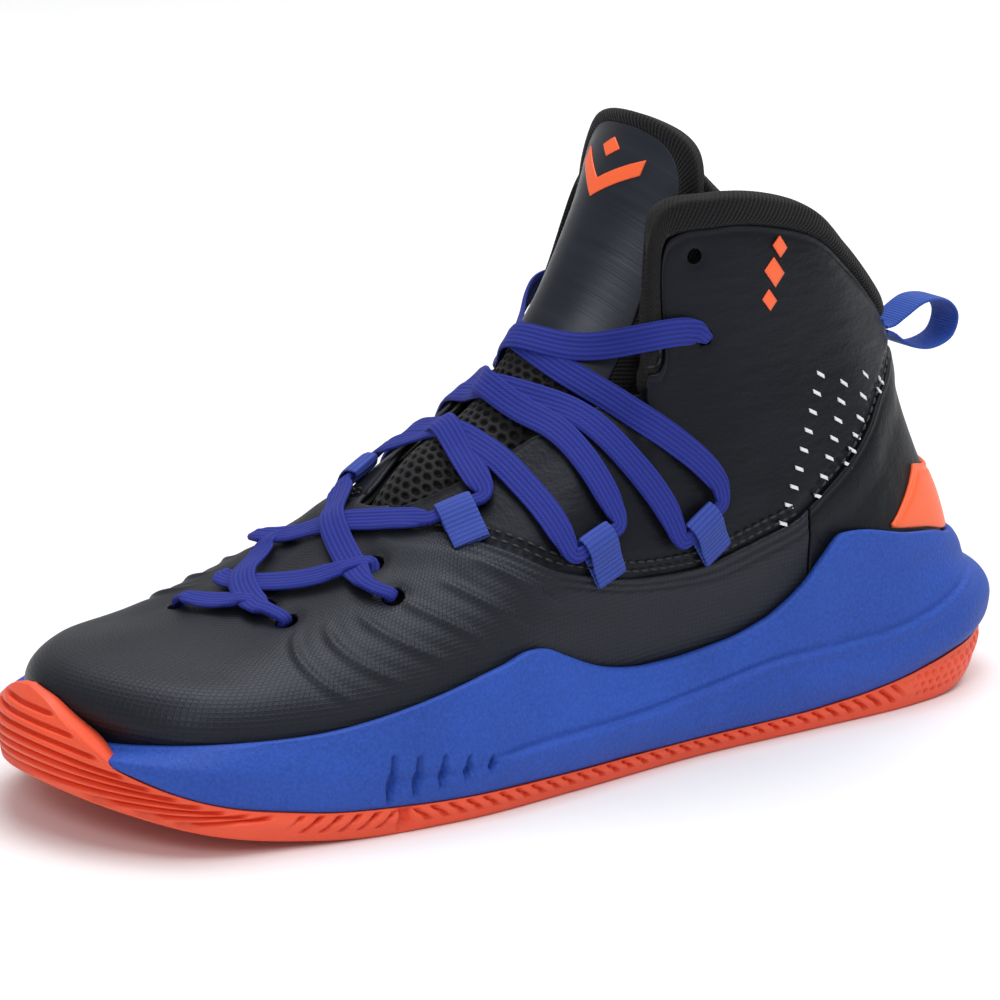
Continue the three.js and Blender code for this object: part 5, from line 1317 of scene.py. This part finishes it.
def on_tongue(s, t):
    s, t = np.broadcast_arrays(np.asarray(s, float), np.asarray(t, float))
    along = unit(tongue_line(s + 0.004) - tongue_line(s - 0.004))
    width, wrap = np.moveaxis(tongue_shape(s), -1, 0)
    deep = wrap * np.abs(t) ** 1.8
    middle_line = tongue_line(s)
    return np.stack([middle_line[..., 0] - along[..., 1] * deep, width * t,
                     middle_line[..., 1] + along[..., 0] * deep], -1)


def tongue_out(s, t):
    up = on_tongue(np.minimum(1, s + 0.01), t) - on_tongue(np.maximum(0, s - 0.01), t)
    outward = unit(np.cross(on_tongue(s, t + 0.01) - on_tongue(s, t - 0.01), up))
    away = (outward[..., 0] < 0) & (outward[..., 2] < 0)
    return np.where(away[..., None], -outward, outward)


def off_tongue(s, t, out):
    return on_tongue(s, t) + tongue_out(s, t) * np.asarray(out)[..., None]


SHOULDER, PAD_EDGE = 0.8, 0.83


def tongue_top(t, k):
    reach = 1 - (1 - k) * 0.35
    return SHOULDER + (reach - SHOULDER) * (1 - np.minimum(1, np.abs(t / k)) ** 2.6) ** (1 / 2.6)


def tongue_sheet(name, low, depths, finish, stands_for, slot, columns=110, rows=300, relief=None, edge=0.868):
    t = np.linspace(-edge, edge, columns)[:, None] * 0.998
    s = lerp(low, tongue_top(t, edge), np.linspace(0, 1, rows)[None])
    t = np.broadcast_to(t, s.shape)
    outer_lift = -depths[0] + (relief(s, t) if relief else 0)
    face = off_tongue(s, t, outer_lift)
    back = off_tongue(s, t, -depths[1] + 0 * s)
    points, faces = shell(face, back)
    cloth = cloth_map(face)
    piece = make(name, points, faces, finish, np.concatenate([cloth.reshape(-1, 2)] * 2), None, stands_for, slot)
    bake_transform(piece)
    return piece


# %% Layers of the tongue
def mesh_holes(s, t):
    """Rows of round pits, each row shifted by half a pitch, as in spacer mesh."""
    place = on_tongue(s, t)
    row_pitch, pitch = 2.7, 3.1
    length = s * 172
    width = np.sign(t) * np.sqrt(place[..., 1] ** 2 + (0.55 * np.abs(t) * tongue_shape(s)[..., 1]) ** 2)
    row = np.floor(length / row_pitch)
    x = (np.mod(width / pitch + 0.5 * np.mod(row, 2), 1) - 0.5) * pitch
    y = (np.mod(length / row_pitch, 1) - 0.5) * row_pitch
    distance = np.sqrt(x**2 + (y * 1.05) ** 2)
    pit = 1 - ease(0.72, 1.15, distance)
    return -1.5 * pit * (1 - ease(0.57, 0.6, s)) + 0.15


cushion = tongue_sheet("tongue_cushion", 0.03, (0, 4.6), mesh_finish, ["tongue_mesh_pad", "tongue_upper_pad"], "mesh",
                       150, 560, mesh_holes)
tongue_sheet("tongue_back_lining", 0.03, (4.9, 5.8), lining_finish,
             ["tongue_lining_lower", "tongue_lining_upper"], "lining", 60, 160)


def shield_relief(s, t):
    near = (s - 0.555) * 172
    return -0.5 * np.clip(1 - near / 1.0, 0, 1) ** 2 + 0.35 * np.cos(np.pi * t / 2 / PAD_EDGE) * ease(0.6, 0.75, s)


tongue_sheet("tongue_film", 0.555, (-1.4, -0.25), shield_finish, ["tongue_shield"], "shield", 90, 170,
             shield_relief, 0.85)

# %% Puffy edge of the tongue
side_steps = 44
turn = np.linspace(0, np.pi, 150)
edge_path = [(-1.0, lerp(0.56, SHOULDER, k / side_steps)) for k in range(side_steps)]
edge_path += [(-math.cos(angle), None) for angle in turn]
edge_path += [(1.0, lerp(0.56, SHOULDER, k / side_steps)) for k in range(side_steps - 1, -1, -1)]
path_t = np.array([t for t, _ in edge_path])
path_s = np.array([np.nan if s is None else s for _, s in edge_path])


def edge_ring(k, out):
    t = path_t * k * 0.998
    s = np.where(np.isnan(path_s), tongue_top(t, k), path_s)
    return off_tongue(s, t, out + 0 * s)


edge_control = np.stack([edge_ring(0.842, 0.9), edge_ring(0.87, 1.9), edge_ring(0.93, 2.4), edge_ring(0.985, 1.6),
                         edge_ring(1.0, -0.8), edge_ring(1.0, -3.4), edge_ring(0.96, -5.9), edge_ring(0.9, -6.5),
                         edge_ring(0.842, -5.6), edge_ring(0.835, -2.5), edge_ring(0.842, 0.9)], 1)
edge_roll = rows_through(edge_control, 56)[:, :-1]
columns, rows = edge_roll.shape[:2]
wrap_column = np.arange(columns - 1)
closing = np.stack([wrap_column * rows + rows - 1, (wrap_column + 1) * rows + rows - 1, (wrap_column + 1) * rows,
                    wrap_column * rows], -1)
body_faces = outward_faces(edge_roll, np.concatenate([grid_faces(columns, rows), closing]))
ends = [tuple(range(rows)), tuple((columns - 1) * rows + k for k in range(rows))[::-1]]
binding = make("tongue_edge_roll", edge_roll, body_faces.tolist() + ends, collar_finish, cloth_map(edge_roll), None,
               stands_for=["tongue_binding"], slot="knit")
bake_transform(binding)

# %% Marks on the tongue
s, t = np.meshgrid(np.linspace(0, 1, 49), np.linspace(0, 1, 12), indexing="ij")
width = lerp(-0.46, 0.46, s)
chevron = 0.79 + lerp(0, 0.032, t) + 0.06 * (np.abs(width) / 0.46)
slim = 1 - np.abs(2 * s - 1)
diamond_width = lerp(-0.13, 0.13, s)
diamond = 0.886 + (t - 0.5) * 0.042 * slim
marks = [shell(off_tongue(level, across_tongue, 2.0 + 0 * level), off_tongue(level, across_tongue, 1.2 + 0 * level))
         for level, across_tongue in ((chevron, width), (diamond[1:-1], diamond_width[1:-1]))]
points, faces = gather(marks)
marks = make("tongue_marks", points, faces, orange_finish, body=None)
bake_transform(marks)

# %% [markdown]
# ## Webbing loops
# Six short loops of webbing stand on the seam and carry the lace. Each is a strap folded over at the top, with
# both ends sewn under the panel's edge. The ribs across the strap are modelled, not only shaded, because
# their edge shows at the fold.

# %% Straps
def smooth_path(points, samples):
    """Centripetal curve through points: it neither loops nor overshoots between close points."""
    p = np.asarray(points, float)
    p = np.vstack([2 * p[0] - p[1], p, 2 * p[-1] - p[-2]])
    gap = np.maximum(np.linalg.norm(np.diff(p, axis=0), axis=1) ** 0.5, 1e-2)
    place = np.asarray(samples)
    k = np.clip(place.astype(int), 0, len(p) - 4)
    w = place - k
    d0, d1, d2 = (gap[k + n][:, None] for n in range(3))
    p0, p1, p2, p3 = (p[k + n] for n in range(4))
    t1 = ((p1 - p0) / d0 - (p2 - p0) / (d0 + d1) + (p2 - p1) / d1) * d1
    t2 = ((p2 - p1) / d1 - (p3 - p1) / (d1 + d2) + (p3 - p2) / d2) * d1
    h = [weight[:, None] for weight in cubic(w)]
    return h[0] * p1 + h[1] * t1 + h[2] * p2 + h[3] * t2


def ribbon(path, across, width, thickness, section=20, rib=0.0, rib_pitch=1.3, fold=0.5):
    """A flat strap along a path. Width and thickness may change along it."""
    along = unit(np.gradient(path, axis=0))
    across = unit(across - along * (across * along).sum(-1, keepdims=True))
    lift = np.cross(along, across)
    run = np.r_[0, np.cumsum(np.linalg.norm(np.diff(path, axis=0), axis=1))]
    turn = (np.arange(section) + 0.5) / section * 2 * np.pi
    flat_x = np.sign(np.cos(turn)) * np.abs(np.cos(turn)) ** fold
    flat_y = np.sign(np.sin(turn)) * np.abs(np.sin(turn)) ** 0.55
    width, thickness = np.broadcast_to(width, run.shape), np.broadcast_to(thickness, run.shape)
    grow = rib * np.cos(2 * np.pi * run / rib_pitch)
    points = (path[:, None] + across[:, None] * (flat_x[None] * (width / 2)[:, None])[..., None]
              + lift[:, None] * (flat_y[None] * (thickness / 2 + grow)[:, None])[..., None])
    cloth = np.stack([np.broadcast_to(run[:, None], points.shape[:2]), flat_x[None] * width[:, None] / 2], -1)
    columns, rows = points.shape[:2]
    column = np.arange(columns - 1)
    closing = np.stack([column * rows + rows - 1, (column + 1) * rows + rows - 1,
                        (column + 1) * rows, column * rows], -1)
    faces = outward_faces(points, np.concatenate([grid_faces(columns, rows), closing])).tolist()
    faces += [tuple(range(rows)), tuple((columns - 1) * rows + k for k in range(rows))[::-1]]
    return points, faces, cloth


# %% Webbing loops
LOOPS = {"front": ((0.758, 0.76), (0.785, 0.95)), "middle": ((0.643, 0.45), (0.664, 0.62)),
         "rear": ((0.497, 0.3), (0.524, 0.44))}
LOOP_WIDTH, LOOP_THICK, LOOP_LONG = 10, 0.8, 13
LACE_WIDTH, LACE_THICK, LACE_GATHERED, LACE_BUNCHED = 7.6, 1.4, 3.2, 2.2
SEW_LIFT = 1.1
HOLD_LIFT = SEW_LIFT + LOOP_THICK / 2 + GAP + LACE_BUNCHED / 2 + 0.05


def loop_frame(side, spec):
    (a0, v0), (a1, v1) = spec
    foot, out0, _, _ = skin(ring_place(side, a0), v0)
    head, out1, _, _ = skin(ring_place(side, a1), v1)
    up = unit(head - foot)
    out = out0 + out1
    out = unit(out - up * (out @ up))
    return foot, up, out, unit(np.cross(up, out)) * side


for side, word in ((1, "outer"), (-1, "inner")):
    for name, spec in LOOPS.items():
        foot, up, out, rear = loop_frame(side, spec)
        high = HOLD_LIFT + LACE_BUNCHED / 2 + GAP + LOOP_THICK / 2
        shape = [(-1.5, SEW_LIFT - 0.5), (LOOP_LONG * 0.5, SEW_LIFT), (LOOP_LONG - 2.2, SEW_LIFT),
                 (LOOP_LONG - 0.7, SEW_LIFT + 0.9), (LOOP_LONG, (SEW_LIFT + high) / 2), (LOOP_LONG - 0.7, high - 0.9),
                 (LOOP_LONG - 2.2, high), (LOOP_LONG * 0.62, high), (LOOP_LONG * 0.25, lerp(SEW_LIFT, high, 0.45)),
                 (0.5, SEW_LIFT + LOOP_THICK + 0.1), (-1.5, SEW_LIFT + 0.15)]
        loop_stops = [foot + up * along + out * lift for along, lift in shape]
        path = smooth_path(loop_stops, np.linspace(0, len(shape) - 1, 150))
        across_loop = np.broadcast_to(rear, path.shape)
        points, faces, cloth = ribbon(path, across_loop, LOOP_WIDTH, LOOP_THICK, rib=0.07)
        make(f"loop_{name}_{word}", points, faces, loop_finish, cloth, stands_for=[f"lace_loop_{name}_{word}"],
             slot="webbing")

# %% [markdown]
# ## Laces
# One flat braided lace, about 1.29 m long, starts across the front of the vamp and crosses from side to
# side through the loops. It is gathered into a thick bundle where it turns through a hole or a loop, and
# lies flat between. The route is a list of *stops*: a place, the direction away from the foot, and how much
# it is gathered. The lace is then one ribbon through its stops.

# %% Stops of the lace
RUN = LACE_THICK / 2 + GAP + 0.45
OVER = RUN + LACE_THICK + GAP + 0.2
TONGUE_LIFT = 0.8


def stop(place, normal, gathered=0.0):
    return np.asarray(place, float), np.asarray(normal, float), gathered


def on_face(u, v, lift=RUN, gathered=0.0):
    place, outward, _, _ = skin(u, v)
    return stop(place + outward * lift, outward, gathered)


def over_tongue(s, t, lift=RUN):
    return stop(off_tongue(s, t, lift), tongue_out(np.array(s), np.array(t)))


def toward(hole, goal, distance, lift, gathered=1.0):
    share = distance / np.linalg.norm(on_upper(*hole) - on_upper(*goal))
    return on_face(lerp(hole[0], goal[0], share), lerp(hole[1], goal[1], share), lift, gathered)


HOLE = 3.6


def through_holes(first, second, before, after):
    under = -(PANEL + GAP + LACE_BUNCHED / 2 + 0.25)
    return [toward(first, before, HOLE + 1.2, RUN + 1.2, 0.9), toward(first, second, 0, 0.2),
            toward(first, second, 1.6, under * 0.62), toward(first, second, HOLE + 0.6, under),
            toward(second, first, HOLE + 0.6, under), toward(second, first, 1.6, under * 0.62),
            toward(second, first, 0, 0.2), toward(second, after, HOLE + 1.2, RUN + 1.2, 0.9)]


def through_loop(side, spec):
    foot, up, out, rear = loop_frame(side, spec)
    held = foot + up * (LOOP_LONG - 3.2) + out * HOLD_LIFT
    half_width = LOOP_WIDTH / 2
    place = lambda along, gathered, rise=0.0: stop(held + rear * along + up * rise, out, gathered)
    return [place(-half_width - 3.2, 0.9, 0.4), place(-half_width * 0.6, 1), place(half_width * 0.6, 1),
            place(half_width + 3.2, 0.9, 0.4)]


def across_vamp(first, last, lifts):
    shares = [(k + 1) / (len(lifts) + 1) for k in range(len(lifts))]
    return [on_face(lerp(first[0], last[0], share), lerp(first[1], last[1], share), lift)
            for share, lift in zip(shares, lifts)]


def lace_half(side, crest):
    on_side = lambda which, a, v: (ring_place(side * which, a), v)
    own = [(ring_place(side, a), v) for a, v in VAMP_HOLES[side]]
    other = [(ring_place(-side, a), v) for a, v in VAMP_HOLES[-side]]
    face = lambda which, a, v, lift=RUN, gathered=0.0: on_face(*on_side(which, a, v), lift, gathered)
    tongue = lambda which, s, t, lift=RUN: over_tongue(s, t * side * which, lift + TONGUE_LIFT)

    def tuck(a, v, gathered):
        u = ring_place(-side, a)
        return on_face(u, v, -(float(lining_depth(np.array(u), v)) + 0.9 + 1.7 + 1.1), gathered)
    return [
        *through_holes(own[0], own[1], on_side(1, 0.99, 0.72), other[2]),
        *across_vamp(own[1], other[2], [RUN + 0.6, crest[0] + 0.4, RUN + 0.5]),
        *through_holes(other[2], other[3], own[1], on_side(-1, 0.9, 0.86)),
        face(-1, 0.9, 0.86), face(-1, 1, 0.94, crest[1]),
        face(1, 0.9, 0.95, RUN + 0.4), face(1, 0.835, 0.93, RUN + 1.3),
        *through_loop(side, LOOPS["front"]),
        face(1, 0.755, 0.975, RUN + 1.4, 0.2), tongue(1, 0.33, 0.45), tongue(1, 0.36, 0, crest[2]),
        tongue(-1, 0.375, 0.45), face(-1, 0.735, 0.97, RUN + 1), face(-1, 0.715, 0.84), face(-1, 0.695, 0.72, RUN + 1),
        *through_loop(-side, LOOPS["middle"]),
        face(-1, 0.655, 0.76, RUN + 0.8), face(-1, 0.67, 0.9), face(-1, 0.683, 0.985, RUN + 0.6),
        tongue(-1, 0.44, 0.5), tongue(-1, 0.46, 0, crest[3]), tongue(1, 0.48, 0.5),
        face(1, 0.66, 0.98, RUN + 0.6), face(1, 0.635, 0.84), face(1, 0.595, 0.68), face(1, 0.57, 0.58, RUN + 0.8, 0.2),
        *through_loop(side, LOOPS["rear"]),
        face(1, 0.492, 0.5, RUN + 1, 0.3), face(1, 0.555, 0.7, RUN + 0.2), face(1, 0.59, 0.88, RUN + 2.4),
        tongue(1, 0.545, 0.62), tongue(1, 0.565, 0, crest[4]), tongue(-1, 0.59, 0.6),
        face(-1, 0.52, 0.86, RUN + 1.6), face(-1, 0.485, 0.78, RUN + 0.7),
        face(-1, *TOP_EYELET, 0.8, 1), face(-1, *TOP_EYELET, -4, 1),
        tuck(0.448, 0.69, 1), tuck(0.45, 0.6, 0.6), tuck(0.46, 0.5, 0.6), tuck(0.47, 0.42, 0.8),
    ]


stops = lace_half(-1, [RUN, OVER, RUN, OVER, OVER])[::-1] + [on_face(0.5, 0.71)]
stops += lace_half(1, [OVER, RUN, OVER, RUN, RUN])
print("lace stops:", len(stops))

# %% The lace as one ribbon
places = np.array([place for place, _, _ in stops])
spans = np.linalg.norm(np.diff(places, axis=0), axis=1)
cuts = [max(3, int(span / 0.75)) for span in spans]
samples = np.concatenate([k + np.arange(cut) / cut for k, cut in enumerate(cuts)] + [[len(stops) - 1.0]])
path = smooth_path(places, samples)
index = np.minimum(samples.astype(int), len(stops) - 2)
share = (samples - index)[:, None]
normals = np.array([normal for _, normal, _ in stops])
normal = unit(lerp(normals[index], normals[index + 1], share))
gathers = np.array([gathered for _, _, gathered in stops])
held = np.clip(lerp(gathers[index], gathers[index + 1], share[:, 0]) * 1.6, 0, 1)[:, None]
# A pulled lace runs straight: free runs are drawn tight sideways, but keep their height over the shoe.
for _ in range(260):
    pull = np.zeros_like(path)
    pull[1:-1] = (path[:-2] + path[2:]) / 2 - path[1:-1]
    pull -= normal * (pull * normal).sum(-1, keepdims=True) * 0.85
    path = path + pull * (1 - held)
along = unit(np.gradient(path, axis=0))
side_way = np.cross(along, normal)
for k in range(len(side_way)):
    if k and side_way[k] @ side_way[k - 1] < 0:
        side_way[k] = -side_way[k]
    if k and np.linalg.norm(side_way[k]) < 0.5:
        side_way[k] = side_way[k - 1]
    side_way[k] /= np.linalg.norm(side_way[k])
for _ in range(6):
    side_way[1:-1] = unit(side_way[:-2] + 2 * side_way[1:-1] + side_way[2:])
gathered = lerp(gathers[index], gathers[index + 1], ease(0, 1, share[:, 0])) ** 2.5
for _ in range(4):
    gathered[1:-1] = (gathered[:-2] + 2 * gathered[1:-1] + gathered[2:]) / 4
lace_width = lerp(LACE_WIDTH, LACE_GATHERED, gathered)
lace_thick = lerp(LACE_THICK, LACE_BUNCHED, gathered)
points, faces, cloth = ribbon(path, side_way, lace_width, lace_thick, section=28, fold=0.75)
# Lengthwise ribs: the flat faces rise and fall across the width.
ribs = np.cos(2 * np.pi * cloth[..., 1] / 1.3)
lift = np.cross(along, side_way)
over_face = ((points - path[:, None]) * lift[:, None]).sum(-1)
points = points + lift[:, None] * (0.1 * ribs * np.sign(over_face) * np.minimum(1, np.abs(over_face) / 0.5))[..., None]
make("braided_lace", points, faces, lace_finish, cloth, stands_for=["shoelace"], slot="lace")
length = np.linalg.norm(np.diff(path, axis=0), axis=1).sum()
print("lace length, mm:", round(float(length)))

# %% [markdown]
# ## Heel pull
# A loop of webbing at the heel helps to pull the shoe on. It is stiff enough to stand out from the patch
# that holds it, and swings about its sewn root.

# %% Pull loop
heel_seat, _, _, _ = skin(0.0, 0.9)
pivot_x, pivot_z = heel_seat[0] - 1 - GAP - 0.9, heel_seat[2] - 1
pull_shape = [(0.3, 0.72), (3, 1.1), (7, 3.2), (14.3, 6.6), (22.1, 5.6), (25.4, 1.4), (23.4, -4.48), (15.6, -7),
              (7, -4.4), (3, -1.6), (0.3, -0.72)]
pull_stops = [(pivot_x - back, 0, pivot_z + up) for back, up in pull_shape]
path = smooth_path(pull_stops, np.linspace(0, len(pull_shape) - 1, 240))
across_pull = np.broadcast_to((0.0, 1.0, 0.0), path.shape)
points, faces, cloth = ribbon(path, across_pull, 12, 1.2, rib=0.05, rib_pitch=0.9, fold=0.4)
make("heel_pull", points, faces, pull_finish, cloth, "pull_loop_body", ["pull_loop"], "webbing")

# %% [markdown]
# ## Hidden parts
# The lasting board, the shank plate, the stiffeners and the lace tips keep their CAD shape, because their
# shape is right already. They get finishes of their own: pressed fibre board, glass-filled plastic,
# stiff felt and clear plastic over braid.

# %% Finishes for the CAD parts
board = Finish("fibre_board", (0.52, 0.47, 0.38), 0.85)
board.vary_color(board.noise(400, 3), 0.8, 1.15)
board.raise_by(board.noise(900, 3), 0.0001)
plate = Finish("shank_plastic", (0.012, 0.014, 0.018), 0.4)
plate.raise_by(plate.noise(700, 3), 0.00006)
plate.vary_roughness(plate.noise(90), 0.32, 0.5)
felt = Finish("stiff_felt", (0.62, 0.58, 0.5), 0.9)
felt.vary_color(felt.noise(500, 3), 0.85, 1.1)
felt.raise_by(felt.noise(1500, 3), 0.00012)
tip = Finish("lace_tip", (0.03, 0.04, 0.42), 0.25, Coat_Weight=0.6)
tip.raise_by(tip.noise(1200, 2), 0.00004)
tip.vary_color(tip.noise(300), 0.85, 1.15)
hidden = {board.done(): ["lasting_board"], plate.done(): ["shank_plate"],
          felt.done(): ["heel_counter", "toe_puff", "lacing_stay_outer", "lacing_stay_inner"],
          tip.done(): ["aglet_inner", "aglet_outer"]}
for finish, names in hidden.items():
    for name in names:
        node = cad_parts[name]
        node.data.materials.clear()
        node.data.materials.append(finish)
print("hidden parts:", sum(len(names) for names in hidden.values()))


# %% [markdown]
# ## Size
# The dressed shoe stands a little proud of the CAD model, as cloth does over a form. The box of the dressed
# shoe is printed.

# %% Size of the dressed shoe
low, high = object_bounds()
print("dressed box, metres:", [round(float(b) - float(a), 4) for a, b in zip(low, high)])
